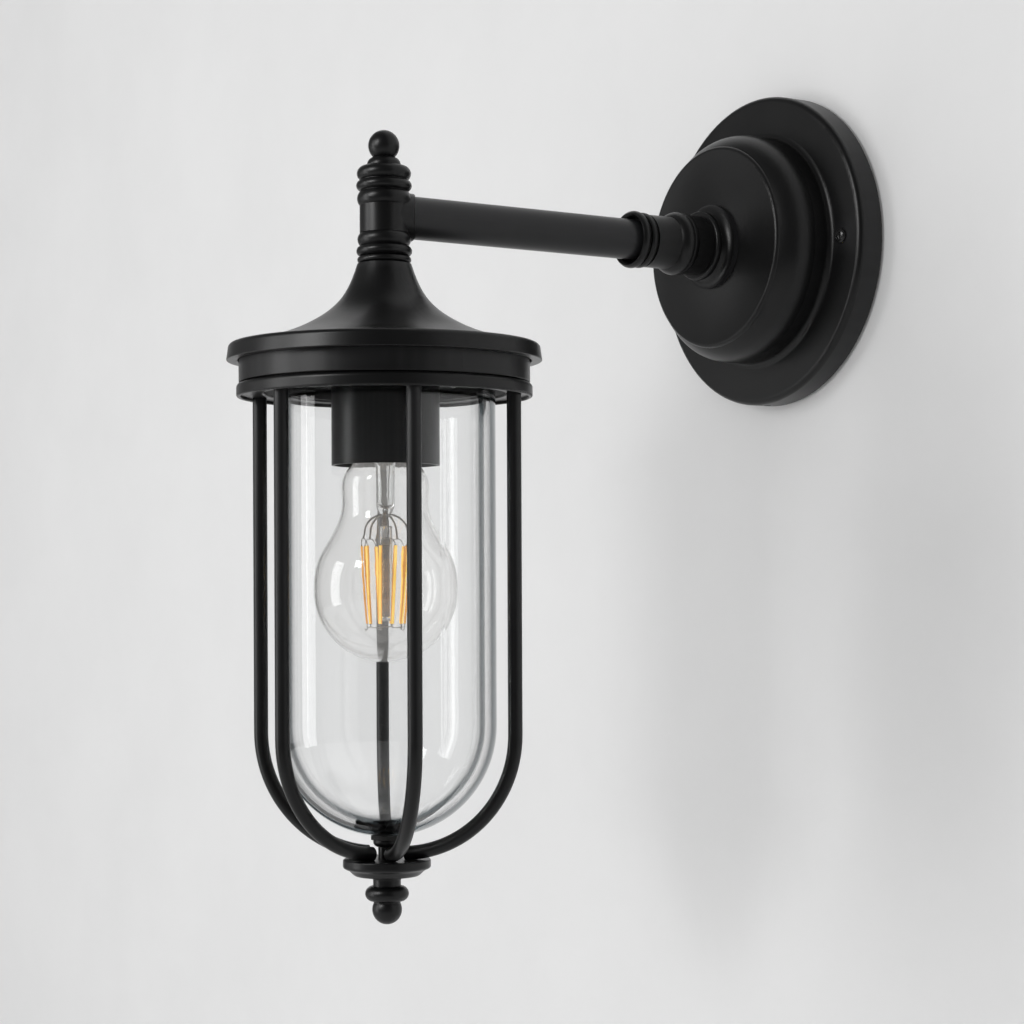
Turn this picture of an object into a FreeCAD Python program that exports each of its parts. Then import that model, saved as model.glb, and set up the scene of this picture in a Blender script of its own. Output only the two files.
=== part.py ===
import FreeCAD, Part

import math
import os

# Outdoor wall lantern: a round wall canopy, a straight arm, a turned stem and a bell cap,
# with a cage of bent rods that carries a clear glass cylinder round one bulb.
# Lengths are in millimetres. The wall is the plane y = 0, the lantern hangs towards -Y,
# the arm's axis is at z = 0 and +Z is up.

# Where the lantern hangs
arm_reach = 214.0

# Canopy on the wall
canopy_radius = 70.8
canopy_rim_depth = 13.9
canopy_rim_round = 2.6
canopy_wall = 2.2
canopy_depth = 40.2
canopy_flange_width = 19.3
dome_root_fillet = 2.6
dome_side_depth = 22.8
dome_shoulder_width = 5.8
dome_face_round = 1.6
dome_face_dish = 0.7
weep_hole_radius = 1.7
gasket_thickness = 1.5
gasket_width = 5.5
gasket_inset = 1.2

# Bracket behind the canopy
bracket_width = 24.0
bracket_thickness = 2.5
bracket_lip = 4.0
bracket_end_gap = 0.8
bracket_corner = 3.0
bracket_wire_hole_radius = 9.0
box_slot_spacing = 80.0
box_slot_radius = 2.4
box_slot_length = 14.0
ground_screw_spot = 20.0
ground_screw_radius = 2.0
ground_screw_head_radius = 4.0
ground_screw_head_height = 2.4

# Screws that hold the canopy
canopy_screw_inset = 12.3
canopy_screw_radius = 1.95
canopy_screw_head_radius = 3.3
canopy_screw_head_height = 2.3

# Turned socket that takes the arm
socket_flange_radius = 19.0
socket_flange_thickness = 2.4
socket_cove_radius = 13.4
socket_shoulder_radius = 15.6
socket_shoulder_width = 3.2
socket_shoulder_gap = 3.6
socket_root_radius = 13.3
socket_root_length = 8.2
socket_bead_radius = 14.0
socket_bead_width = 8.6
socket_barrel_radius = 11.7
socket_barrel_length = 12.6
socket_ring_radius = 12.3
socket_ring_width = 3.4
socket_groove_depth = 0.7
socket_groove_width = 0.6
socket_lip_radius = 12.7
socket_lip_width = 4.4
socket_mouth_radius = 10.4
socket_mouth_depth = 6.0

# Arm and the threaded tubes that clamp the pieces
arm_radius = 8.95
arm_wall = 1.6
arm_clearance = 0.05
arm_end_inset = 2.2
nipple_radius = 5.0
nipple_wall = 1.5
nipple_clearance = 0.04
nipple_grip = 10.0
nut_width = 16.0
nut_height = 4.0
washer_radius = 9.4
washer_thickness = 1.2

# Turned stem at the lantern's axis
stem_radius = 10.2
stem_top_radius = 7.9
stem_height = 40.8
stem_groove_depth = 0.25
stem_plain_share = 0.1
stem_wire_bore_radius = 3.5
stem_nipple_depth = 8.0
saddle_reach = 13.0
saddle_wall = 1.0
# Each ring of the stem: bottom and top as shares of its height, crest as a share of its radius
stem_ring_shares = (
    (0.006, 0.078, 1.104),
    (0.078, 0.184, 1.139),
    (0.184, 0.316, 1.09),
    (0.597, 0.742, 1.099),
    (0.745, 0.854, 1.134),
    (0.858, 1.0, 1.104),
)

# Finial on top of the stem
top_ball_radius = 6.5
top_ball_neck_radius = 4.4
top_collar_radius = 7.0
top_collar_height = 3.7
top_stud_radius = 2.5
top_stud_length = 8.0
stud_clearance = 0.04

# Bell cap
bell_neck_radius = 11.3
bell_height = 33.4
bell_wall = 1.6
brim_seam_radius = 60.4
brim_top_radius = 64.6
brim_radius = 65.6
brim_round = 2.2
brim_depth = 7.1
brim_edge_round = 0.4
brim_band_gap = 0.4
# Bell curve below its neck: shares of the way out to the seam and of the way down to it
bell_curve_shares = (
    (0.0, 0.0),
    (0.05, 0.204),
    (0.136, 0.428),
    (0.238, 0.578),
    (0.397, 0.728),
    (0.5, 0.802),
    (0.72, 0.915),
    (1.0, 1.0),
)

# Pan under the cap, whose wall is the band
band_radius = 60.5
band_wall = 2.1
band_height = 14.3
pan_thickness = 1.6
pan_drop = 2.0

# Lampholder in its cover
holder_cover_radius = 22.3
holder_cover_wall = 1.2
holder_cover_height = 46.8
holder_radius = 19.5
holder_height = 42.0
holder_top_thickness = 13.0
holder_bore_radius = 14.4
shell_wall = 0.7
shell_length = 26.0
shell_floor_radius = 7.0
contact_radius = 3.6
contact_thickness = 1.0

# Bulb
bulb_radius = 30.0
bulb_reach = 56.4
bulb_wall = 0.8
bulb_base_radius = 13.1
bulb_base_wall = 0.8
bulb_base_length = 26.6
bulb_tip_radius = 4.8
bulb_tip_gap = 0.4
bulb_insulator_height = 5.6
bulb_neck_radius = 12.1
bulb_neck_grip = 4.0
# Bulb outline from its neck to its widest round: shares of radius and of the drop to its centre
bulb_curve_shares = (
    (0.517, 0.108),
    (0.587, 0.175),
    (0.6, 0.37),
    (0.7, 0.55),
    (0.872, 0.71),
)
bulb_stem_radius = 4.0
bulb_stem_length = 26.0
bulb_post_radius = 2.8
bulb_post_gap = 3.4
bulb_post_length = 42.0
filament_count = 8
filament_radius = 0.75
filament_top_circle = 10.2
filament_foot_circle = 8.2
filament_length = 32.4
filament_drop = 11.0
support_wire_radius = 0.35
support_wire_clearance = 0.05

# Cage ring and rods
ring_seam_gap = 0.3
ring_radius = 61.5
ring_height = 5.6
ring_shoulder_round = 1.7
ring_edge_round = 0.9
ring_rim_width = 1.8
ring_recess = 1.3
ring_bore_radius = 50.3
ring_corner = 1.5
ring_spigot_radius = 58.0
ring_spigot_height = 8.0
rod_radius = 3.0
rod_circle = 55.6
rod_socket_depth = 4.6
rod_socket_clearance = 0.03
rod_straight_length = 139.7
rod_bend_radius = 49.5
rod_tip_circle = 8.2
# Turns of the five rods about the lantern's axis, counted from the side away from the wall
rod_turns = (-49.0, 11.0, 71.0, 131.0, 241.0)

# Glass cylinder with a round bottom
glass_radius = 46.0
glass_wall = 4.8
glass_lift = 3.4
glass_rise = 3.4
glass_gasket_height = 3.0
glass_gasket_skirt = 7.0
glass_gasket_clearance = 0.1

# Hub, rest and finial under the glass
hub_radius = 18.3
hub_rim_height = 3.6
hub_height = 8.6
hub_waist_radius = 13.4
hub_neck_radius = 5.9
hub_rod_bite = 0.4
rest_stud_radius = 2.5
rest_stud_length = 17.0
rest_post_radius = 3.6
rest_flange_radius = 5.7
rest_flange_height = 3.0
rest_pad_radius = 6.6
rest_pad_thickness = 1.3
rest_pad_clearance = 0.1
finial_bead_radius = 9.1
finial_bead_height = 6.4
finial_neck_radius = 5.8
finial_neck_height = 2.6
finial_waist_radius = 5.6
finial_waist_height = 0.8
finial_ball_radius = 6.2

cut_overrun = 5.0
full_turn = 360.0
quarter_turn = 90.0
eighth_turn = math.pi / 4

origin = FreeCAD.Vector(0, 0, 0)
x_axis = FreeCAD.Vector(1, 0, 0)
z_axis = FreeCAD.Vector(0, 0, 1)

# Heights at the lantern's axis that several pieces share
stem_foot = -stem_height / 2
seam_height = stem_foot - bell_height
pan_top = seam_height - pan_drop
pan_underside = pan_top - pan_thickness
band_foot = pan_top - band_height
cover_top = pan_underside
holder_top = cover_top - holder_cover_wall
holder_floor = holder_top - holder_top_thickness
ring_top = band_foot - ring_seam_gap
ring_foot = ring_top - ring_height
ring_recess_roof = ring_foot + ring_recess
rod_bend_height = ring_foot - rod_straight_length
glass_top = ring_top + glass_rise
glass_centre = rod_bend_height + glass_lift
glass_foot = glass_centre - glass_radius
rod_reach_inside = rod_circle - rod_bend_radius
rod_tip_angle = math.acos((rod_tip_circle - rod_reach_inside) / rod_bend_radius)
rod_tip_height = rod_bend_height - rod_bend_radius * math.sin(rod_tip_angle)
hub_top = rod_tip_height - rod_radius + hub_rod_bite
hub_foot = hub_top - hub_height


def at(radius, height):
    """A point of a half outline: distance from the turning axis, height along it."""
    return FreeCAD.Vector(radius, 0, height)


def line(start, end):
    return Part.makeLine(start, end)


def arc(start, middle, end):
    return Part.Arc(start, middle, end).toShape()


def curve(points, start_direction=None, end_direction=None):
    """A smooth curve through the points, with chosen end directions if they are given."""
    spline = Part.BSplineCurve()
    if start_direction is None:
        spline.interpolate(points)
    else:
        spline.interpolate(Points=points, InitialTangent=start_direction, FinalTangent=end_direction)
    return spline.toShape()


def rounded_path(corners, closed=True):
    """Edges through corners given as (radius, height, rounding), with each corner rounded."""
    count = len(corners)
    places = [at(corner[0], corner[1]) for corner in corners]
    starts = []
    ends = []
    middles = []
    for index in range(count):
        here = places[index]
        rounding = corners[index][2]
        if rounding == 0 or (not closed and index in (0, count - 1)):
            starts.append(here)
            ends.append(here)
            middles.append(None)
            continue
        towards_last = (places[index - 1] - here).normalize()
        towards_next = (places[(index + 1) % count] - here).normalize()
        half_angle = towards_last.getAngle(towards_next) / 2
        setback = rounding / math.tan(half_angle)
        bisector = (towards_last + towards_next).normalize()
        to_centre = rounding / math.sin(half_angle)
        starts.append(here + towards_last * setback)
        ends.append(here + towards_next * setback)
        middles.append(here + bisector * (to_centre - rounding))
    edges = []
    for index in range(count):
        if middles[index] is not None:
            edges.append(arc(starts[index], middles[index], ends[index]))
        following = (index + 1) % count
        if following == 0 and not closed:
            break
        if ends[index].distanceToPoint(starts[following]) > 0:
            edges.append(line(ends[index], starts[following]))
    return edges


def turned(edges):
    """A solid of revolution about the Z axis from a closed half outline."""
    wire = Part.Wire(Part.__sortEdges__(edges))
    return Part.Face(wire).revolve(origin, z_axis, full_turn)


def rod(radius, foot, top):
    return Part.makeCylinder(radius, top - foot, at(0, foot))


def tube(outer, inner, foot, top):
    return rod(outer, foot, top).cut(rod(inner, foot - cut_overrun, top + cut_overrun))


def turned_about_z(shape, degrees):
    copy = shape.copy()
    copy.rotate(origin, z_axis, degrees)
    return copy


def from_wall(shape):
    """Turns a piece modelled upright so that its height runs out from the wall."""
    copy = shape.copy()
    copy.rotate(origin, x_axis, quarter_turn)
    return copy


def at_lantern(shape):
    copy = shape.copy()
    copy.translate(FreeCAD.Vector(0, -arm_reach, 0))
    return copy


def across_plate(shape, place):
    copy = shape.copy()
    copy.translate(FreeCAD.Vector(place, 0, 0))
    return copy


def pan_screw(shank_radius, head_radius, head_height, seat):
    """A screw whose shank runs from the wall to its seat, under a low domed head."""
    edge_height = head_height / 3
    crown_height = head_height - edge_height
    crown_radius = (head_radius ** 2 + crown_height ** 2) / (2 * crown_height)
    half_angle = math.asin(head_radius / crown_radius) / 2
    top = seat + head_height
    crown_middle = at(
        crown_radius * math.sin(half_angle),
        top - crown_radius * (1 - math.cos(half_angle)),
    )
    edges = rounded_path([
        (head_radius, seat + edge_height, 0),
        (head_radius, seat, 0),
        (shank_radius, seat, 0),
        (shank_radius, 0, 0),
        (0, 0, 0),
        (0, top, 0),
    ], closed=False)
    edges.append(arc(at(0, top), crown_middle, at(head_radius, seat + edge_height)))
    return turned(edges)


def hexagon_nut(width, bore, foot, height):
    corner_radius = width / 2 / math.cos(math.pi / 6)
    corners = []
    for index in range(7):
        angle = math.pi / 3 * index
        corners.append(FreeCAD.Vector(math.cos(angle), math.sin(angle), 0) * corner_radius + z_axis * foot)
    body = Part.Face(Part.makePolygon(corners)).extrude(z_axis * height)
    return body.cut(rod(bore, foot - cut_overrun, foot + height + cut_overrun))


# Wall side


def canopy_screw_places():
    place = canopy_radius - canopy_screw_inset
    return (place, -place)


def wall_bracket():
    """A steel strap with stiffening lips, box slots and tapped holes for the canopy screws."""
    half_width = bracket_width / 2
    corner_reach = canopy_radius - gasket_inset - gasket_width - bracket_end_gap
    half_length = math.sqrt(corner_reach ** 2 - (half_width - bracket_corner) ** 2)
    strap = Part.makeBox(2 * half_length, bracket_width, bracket_thickness,
                         FreeCAD.Vector(-half_length, -half_width, 0))
    upright = [edge for edge in strap.Edges if edge.BoundBox.ZLength > bracket_thickness / 2]
    strap = strap.makeFillet(bracket_corner, upright)
    lip_length = 2 * (box_slot_spacing / 2 + box_slot_length / 2)
    for side in (-1, 1):
        lip_start = side * half_width - (bracket_thickness if side > 0 else 0)
        lip = Part.makeBox(lip_length, bracket_thickness, bracket_lip,
                           FreeCAD.Vector(-lip_length / 2, lip_start, bracket_thickness))
        strap = strap.fuse(lip)
    middle_length = box_slot_length - 2 * box_slot_radius
    holes = [
        (bracket_wire_hole_radius, 0),
        (ground_screw_radius + nipple_clearance, ground_screw_spot),
    ]
    for place in canopy_screw_places():
        holes.append((canopy_screw_radius + nipple_clearance, place))
    for side in (-1, 1):
        middle = side * box_slot_spacing / 2
        holes.append((box_slot_radius, middle - middle_length / 2))
        holes.append((box_slot_radius, middle + middle_length / 2))
        strap = strap.cut(Part.makeBox(
            middle_length, 2 * box_slot_radius, bracket_thickness + 2 * cut_overrun,
            FreeCAD.Vector(middle - middle_length / 2, -box_slot_radius, -cut_overrun)))
    for radius, place in holes:
        strap = strap.cut(across_plate(rod(radius, -cut_overrun, bracket_thickness + cut_overrun), place))
    return from_wall(strap.removeSplitter())


def ground_screw():
    screw = pan_screw(ground_screw_radius, ground_screw_head_radius, ground_screw_head_height,
                      bracket_thickness)
    return from_wall(across_plate(screw, ground_screw_spot))


def canopy_gasket():
    outer = canopy_radius - gasket_inset
    return from_wall(tube(outer, outer - gasket_width, 0, gasket_thickness))


def canopy_outline(inset, foot):
    """Half outline of the canopy's stepped dome, inset by a wall thickness, from rim to face."""
    root = canopy_radius - canopy_flange_width - inset
    face = root - dome_shoulder_width
    rim_top = canopy_rim_depth - inset
    face_top = canopy_depth - inset
    rim_round = max(canopy_rim_round - inset, canopy_wall / 4)
    fillet = dome_root_fillet + inset
    side = dome_side_depth
    rim = rounded_path([
        (canopy_radius - inset, foot, 0),
        (canopy_radius - inset, rim_top, rim_round),
        (root, rim_top, fillet),
        (root, side, 0),
    ], closed=False)
    shoulder_start = at(root, side)
    shoulder_end = at(face, face_top - dome_face_round)
    shoulder_middle = at(
        root - (root - face) * (1 - math.cos(eighth_turn)),
        side + (face_top - dome_face_round - side) * math.sin(eighth_turn),
    )
    shoulder = curve([shoulder_start, shoulder_middle, shoulder_end])
    edge_end = at(face - dome_face_round, face_top)
    edge_middle = at(
        face - dome_face_round * (1 - math.cos(eighth_turn)),
        face_top - dome_face_round * (1 - math.sin(eighth_turn)),
    )
    return rim + [shoulder, arc(shoulder_end, edge_middle, edge_end)], edge_end


def canopy():
    """The stepped canopy shell, open to the wall, with its dished face and weep hole."""
    hole = nipple_radius + nipple_clearance
    outer_edges, outer_end = canopy_outline(0, gasket_thickness)
    inner_edges, inner_end = canopy_outline(canopy_wall, gasket_thickness)
    face_inner = at(socket_flange_radius, canopy_depth)
    dish_middle = at((outer_end.x + face_inner.x) / 2, canopy_depth - dome_face_dish)
    edges = outer_edges + [
        arc(outer_end, dish_middle, face_inner),
        line(face_inner, at(hole, canopy_depth)),
        line(at(hole, canopy_depth), at(hole, inner_end.z - dome_face_dish)),
        line(at(hole, inner_end.z - dome_face_dish), at(face_inner.x, inner_end.z - dome_face_dish)),
        line(at(face_inner.x, inner_end.z - dome_face_dish), inner_end),
    ] + inner_edges
    rim_inner = canopy_radius - canopy_wall
    edges.append(line(at(rim_inner, gasket_thickness), at(canopy_radius, gasket_thickness)))
    shell = from_wall(turned(edges))
    bore = rod(canopy_screw_radius + nipple_clearance, 0, canopy_rim_depth + cut_overrun)
    for place in canopy_screw_places():
        shell = shell.cut(from_wall(across_plate(bore, place)))
    weep_depth = (gasket_thickness + canopy_rim_depth) / 2
    weep = Part.makeCylinder(weep_hole_radius, canopy_wall + 2 * cut_overrun,
                             FreeCAD.Vector(0, -weep_depth, -canopy_radius - cut_overrun), z_axis)
    return shell.cut(weep)


def canopy_screws():
    """Two pan-head screws through the canopy's rim into the strap."""
    screw = pan_screw(canopy_screw_radius, canopy_screw_head_radius, canopy_screw_head_height,
                      canopy_rim_depth)
    return Part.makeCompound([from_wall(across_plate(screw, place)) for place in canopy_screw_places()])


# Distances from the wall along the turned socket
socket_flange_front = canopy_depth + socket_flange_thickness
socket_shoulder_back = socket_flange_front + socket_shoulder_gap
socket_shoulder_front = socket_shoulder_back + socket_shoulder_width
socket_bead_back = socket_shoulder_front + socket_root_length
socket_bead_front = socket_bead_back + socket_bead_width
socket_ring_back = socket_bead_front + socket_barrel_length
socket_lip_back = socket_ring_back + socket_ring_width + 2 * socket_groove_width
socket_front = socket_lip_back + socket_lip_width
arm_seat = socket_shoulder_front + nipple_grip / 2
arm_far_end = arm_reach - arm_end_inset


def arm_socket():
    """The turned socket between the canopy and the arm, bored for both."""
    groove_floor = socket_barrel_radius - socket_groove_depth
    bead_middle = socket_bead_back + socket_bead_width / 3
    shoulder_round = socket_shoulder_width / 3
    bead_crest = at(socket_bead_radius, bead_middle)
    bead_rear = arc(
        at(socket_root_radius, socket_bead_back),
        at((socket_root_radius + socket_bead_radius) / 2 + socket_groove_depth / 4,
           socket_bead_back + (bead_middle - socket_bead_back) / 3),
        bead_crest,
    )
    bead_slope = arc(
        bead_crest,
        at(socket_barrel_radius + (socket_bead_radius - socket_barrel_radius) * math.sin(eighth_turn),
           bead_middle + (socket_bead_front - bead_middle) * math.sin(eighth_turn)),
        at(socket_barrel_radius, socket_bead_front),
    )
    cove_middle = at(
        socket_cove_radius + (socket_flange_radius - socket_cove_radius) * (1 - math.sin(eighth_turn)),
        socket_flange_front + socket_shoulder_gap * (1 - math.sin(eighth_turn)),
    )
    ring_front = socket_ring_back + socket_groove_width + socket_ring_width
    ring_start = at(socket_barrel_radius, socket_ring_back + socket_groove_width)
    ring_end = at(socket_barrel_radius, ring_front)
    ring_crest = at(socket_ring_radius, (ring_start.z + ring_end.z) / 2)
    lip_start = at(socket_barrel_radius, socket_lip_back)
    lip_inner = at(socket_mouth_radius, socket_front - socket_lip_width / 4)
    lip_crest = at(socket_lip_radius, (socket_lip_back + socket_front) / 2)
    lip_front = at((socket_lip_radius + socket_mouth_radius) / 2, socket_front)
    bore = arm_radius + arm_clearance
    nipple_bore = nipple_radius + nipple_clearance
    mouth_back = socket_front - socket_mouth_depth
    edges = [
        line(at(nipple_bore, canopy_depth), at(socket_flange_radius, canopy_depth)),
        line(at(socket_flange_radius, canopy_depth), at(socket_flange_radius, socket_flange_front)),
        arc(at(socket_flange_radius, socket_flange_front), cove_middle,
            at(socket_cove_radius, socket_shoulder_back)),
    ]
    edges += rounded_path([
        (socket_cove_radius, socket_shoulder_back, 0),
        (socket_shoulder_radius, socket_shoulder_back, shoulder_round),
        (socket_shoulder_radius, socket_shoulder_front, shoulder_round),
        (socket_root_radius, socket_shoulder_front, 0),
        (socket_root_radius, socket_bead_back, 0),
    ], closed=False)
    edges += [
        bead_rear,
        bead_slope,
        line(at(socket_barrel_radius, socket_bead_front), at(socket_barrel_radius, socket_ring_back)),
        line(at(socket_barrel_radius, socket_ring_back), at(groove_floor, socket_ring_back)),
        line(at(groove_floor, socket_ring_back), at(groove_floor, ring_start.z)),
        line(at(groove_floor, ring_start.z), ring_start),
        arc(ring_start, ring_crest, ring_end),
        line(ring_end, at(groove_floor, ring_front)),
        line(at(groove_floor, ring_front), at(groove_floor, socket_lip_back)),
        line(at(groove_floor, socket_lip_back), lip_start),
        arc(lip_start, lip_crest, lip_front),
        line(lip_front, lip_inner),
        line(lip_inner, at(socket_mouth_radius, mouth_back)),
        line(at(socket_mouth_radius, mouth_back), at(bore, mouth_back)),
        line(at(bore, mouth_back), at(bore, arm_seat)),
        line(at(bore, arm_seat), at(nipple_bore, arm_seat)),
        line(at(nipple_bore, arm_seat), at(nipple_bore, canopy_depth)),
    ]
    return from_wall(turned(edges))


# Inside of the dome's face, where the washer and nut bear
dome_inside = canopy_depth - canopy_wall - dome_face_dish


def arm_nipple():
    foot = dome_inside - washer_thickness - nut_height - nipple_wall
    return from_wall(tube(nipple_radius, nipple_radius - nipple_wall, foot, canopy_depth + nipple_grip))


def arm_washer():
    inner = nipple_radius + nipple_clearance
    return from_wall(tube(washer_radius, inner, dome_inside - washer_thickness, dome_inside))


def arm_lock_nut():
    foot = dome_inside - washer_thickness - nut_height
    return from_wall(hexagon_nut(nut_width, nipple_radius + nipple_clearance, foot, nut_height))


def arm_tube():
    return from_wall(tube(arm_radius, arm_radius - arm_wall, arm_seat, arm_far_end))


# Stem


def stem_outline():
    """Outer half outline of the stem from its foot to its top, ring by ring."""
    edges = []
    waist = stem_radius - stem_groove_depth
    place = at(waist, stem_foot)
    last_top = 0.0
    for bottom_share, top_share, crest_share in stem_ring_shares:
        between = bottom_share - last_top
        flat_radius = stem_radius if between > stem_plain_share else waist
        bottom = at(flat_radius, stem_foot + stem_height * bottom_share)
        if between > stem_plain_share:
            edges.append(line(place, at(flat_radius, place.z)))
            place = at(flat_radius, place.z)
        if between > 0:
            edges.append(line(place, bottom))
            place = bottom
        end_radius = stem_top_radius if top_share == stem_ring_shares[-1][1] else waist
        top = at(end_radius, stem_foot + stem_height * top_share)
        middle = at(stem_radius * crest_share, (place.z + top.z) / 2)
        edges.append(arc(place, middle, top))
        place = top
        last_top = top_share
    return edges


def stem():
    """The turned stem with the saddle that wraps the arm's end, bored for arm, wire and threads."""
    waist = stem_radius - stem_groove_depth
    outline = stem_outline()
    outline.append(line(at(stem_top_radius, -stem_foot), at(0, -stem_foot)))
    outline.append(line(at(0, -stem_foot), at(0, stem_foot)))
    outline.append(line(at(0, stem_foot), at(waist, stem_foot)))
    body = turned(outline)
    arm_bore = arm_radius + arm_clearance
    saddle = rod(arm_bore + saddle_wall, 0, saddle_reach + cut_overrun)
    saddle.rotate(origin, x_axis, -quarter_turn)
    saddle = saddle.common(rod(saddle_reach, -stem_height, stem_height))
    body = body.fuse(saddle)
    cross_bore = rod(arm_bore, arm_end_inset - arm_clearance, saddle_reach + cut_overrun)
    cross_bore.rotate(origin, x_axis, -quarter_turn)
    body = body.cut(cross_bore)
    body = body.cut(rod(stem_wire_bore_radius, stem_foot, arm_end_inset))
    nipple_bore = nipple_radius + nipple_clearance
    body = body.cut(rod(nipple_bore, stem_foot - cut_overrun, stem_foot + stem_nipple_depth))
    stud_bore = top_stud_radius + stud_clearance
    body = body.cut(rod(stud_bore, -stem_foot - top_stud_length, -stem_foot + cut_overrun))
    return at_lantern(body)


def top_finial():
    """The ball on its flared collar, with the stud that screws into the stem."""
    foot = -stem_foot
    collar_top = foot + top_collar_height
    ball_centre = collar_top + math.sqrt(top_ball_radius ** 2 - top_ball_neck_radius ** 2)
    flare = arc(
        at(top_collar_radius, foot),
        at(top_ball_neck_radius + (top_collar_radius - top_ball_neck_radius) * math.sin(eighth_turn),
           foot + top_collar_height * math.sin(eighth_turn)),
        at(top_ball_neck_radius, collar_top),
    )
    ball = arc(at(top_ball_neck_radius, collar_top), at(top_ball_radius, ball_centre),
               at(0, ball_centre + top_ball_radius))
    edges = [
        line(at(0, foot), at(top_collar_radius, foot)),
        flare,
        ball,
        line(at(0, ball_centre + top_ball_radius), at(0, foot)),
    ]
    stud = rod(top_stud_radius, foot - top_stud_length + stud_clearance, foot)
    return at_lantern(turned(edges).fuse(stud))


# Cap


def bell_points(shares):
    """Points of the bell's curve, from its neck out and down to the brim's seam."""
    points = []
    for out_share, down_share in shares:
        radius = bell_neck_radius + (brim_seam_radius - bell_neck_radius) * out_share
        points.append(at(radius, stem_foot - bell_height * down_share))
    return points


def offset_inwards(points, wall):
    """The same curve moved by a wall thickness along its own normals."""
    moved = []
    last = len(points) - 1
    for index, point in enumerate(points):
        direction = points[min(index + 1, last)] - points[max(index - 1, 0)]
        direction.normalize()
        moved.append(point + at(direction.z, -direction.x) * wall)
    return moved


def bell_cap():
    """The bell shell with its flat top, flared skirt and thick brim, whose flat foot reaches the band."""
    hole = nipple_radius + nipple_clearance
    outer = bell_points(bell_curve_shares)
    inner = offset_inwards(outer, bell_wall)
    inner = [point for point in inner if point.z < stem_foot - bell_wall and point.z > pan_top]
    inner_start = at(outer[0].x - bell_wall, stem_foot - bell_wall)
    brim_foot = seam_height - brim_depth
    lip_inner = band_radius + brim_band_gap
    brim = rounded_path([
        (brim_seam_radius, seam_height, 0),
        (brim_top_radius, seam_height, brim_round),
        (brim_radius, brim_foot, brim_edge_round),
        (lip_inner, brim_foot, brim_edge_round),
        (lip_inner, pan_top, 0),
        (inner[-1].x, pan_top, 0),
        (inner[-1].x, inner[-1].z, 0),
    ], closed=False)
    edges = [
        line(at(hole, stem_foot), outer[0]),
        curve(outer),
    ] + brim + [
        curve([inner_start] + inner),
        line(inner_start, at(hole, stem_foot - bell_wall)),
        line(at(hole, stem_foot - bell_wall), at(hole, stem_foot)),
    ]
    return at_lantern(turned(edges))


def fitter_pan():
    """The pan clamped under the cap, whose turned-down wall is the plain band."""
    hole = nipple_radius + nipple_clearance
    edges = rounded_path([
        (hole, pan_top, 0),
        (band_radius, pan_top, 0),
        (band_radius, band_foot, band_wall / 4),
        (band_radius - band_wall, band_foot, band_wall / 4),
        (band_radius - band_wall, pan_underside, band_wall / 2),
        (hole, pan_underside, 0),
    ])
    return at_lantern(turned(edges))


def lamp_nipple():
    """The threaded tube that clamps stem, cap, pan, cover and lampholder together."""
    foot = holder_top - holder_top_thickness / 2
    top = stem_foot + stem_nipple_depth - nipple_clearance
    return at_lantern(tube(nipple_radius, nipple_radius - nipple_wall, foot, top))


def lamp_nut():
    """The lock nut inside the bell that holds the stem to the cap."""
    foot = stem_foot - bell_wall - nut_height
    return at_lantern(hexagon_nut(nut_width, nipple_radius + nipple_clearance, foot, nut_height))


# Lampholder


def holder_cover():
    hole = nipple_radius + nipple_clearance
    foot = cover_top - holder_cover_height
    inner = holder_cover_radius - holder_cover_wall
    edges = rounded_path([
        (hole, cover_top, 0),
        (holder_cover_radius, cover_top, holder_cover_wall),
        (holder_cover_radius, foot, 0),
        (inner, foot, 0),
        (inner, holder_top, 0),
        (hole, holder_top, 0),
    ])
    return at_lantern(turned(edges))


def holder_body():
    """The ceramic lampholder, tapped for the threaded tube above and bored for the shell below."""
    body = rod(holder_radius, holder_top - holder_height, holder_top)
    body = body.cut(rod(holder_bore_radius, holder_top - holder_height - cut_overrun, holder_floor))
    thread_floor = holder_top - holder_top_thickness / 2 - nipple_clearance
    body = body.cut(rod(nipple_radius + nipple_clearance, thread_floor, holder_top + cut_overrun))
    return at_lantern(body.cut(rod(nipple_radius - nipple_wall, holder_floor - cut_overrun, holder_top)))


def holder_shell():
    """The brass shell that takes the bulb's screw base, with its folded floor."""
    outer = holder_bore_radius - nipple_clearance
    inner = outer - shell_wall
    foot = holder_floor - shell_length
    edges = rounded_path([
        (outer, foot, 0),
        (outer, holder_floor, shell_wall),
        (shell_floor_radius, holder_floor, 0),
        (shell_floor_radius, holder_floor - shell_wall, 0),
        (inner, holder_floor - shell_wall, 0),
        (inner, foot, 0),
    ])
    return at_lantern(turned(edges))


def holder_contact():
    """The centre contact, bent down from its rivet to meet the bulb's tip."""
    return at_lantern(rod(contact_radius, holder_floor - contact_thickness, holder_floor))


# Bulb, whose base stands in the shell

bulb_tip_height = holder_floor - contact_thickness - bulb_tip_gap
bulb_base_top = bulb_tip_height - bulb_insulator_height
bulb_base_foot = bulb_tip_height - bulb_base_length
bulb_centre = bulb_base_foot - bulb_reach


def bulb_base():
    """The screw base as a plain cup with its insulator cone and tip."""
    tip_waist = bulb_tip_height - bulb_insulator_height / 4
    cup_roof = bulb_base_top - bulb_base_wall
    edges = rounded_path([
        (0, bulb_tip_height, 0),
        (bulb_tip_radius, bulb_tip_height, bulb_insulator_height / 8),
        (bulb_tip_radius, tip_waist, 0),
        (bulb_base_radius - bulb_base_wall, bulb_base_top, 0),
        (bulb_base_radius, bulb_base_top - bulb_base_wall, 0),
        (bulb_base_radius, bulb_base_foot, 0),
        (bulb_base_radius - bulb_base_wall, bulb_base_foot, 0),
        (bulb_base_radius - bulb_base_wall, cup_roof, 0),
        (0, cup_roof, 0),
    ])
    return at_lantern(turned(edges))


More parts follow.
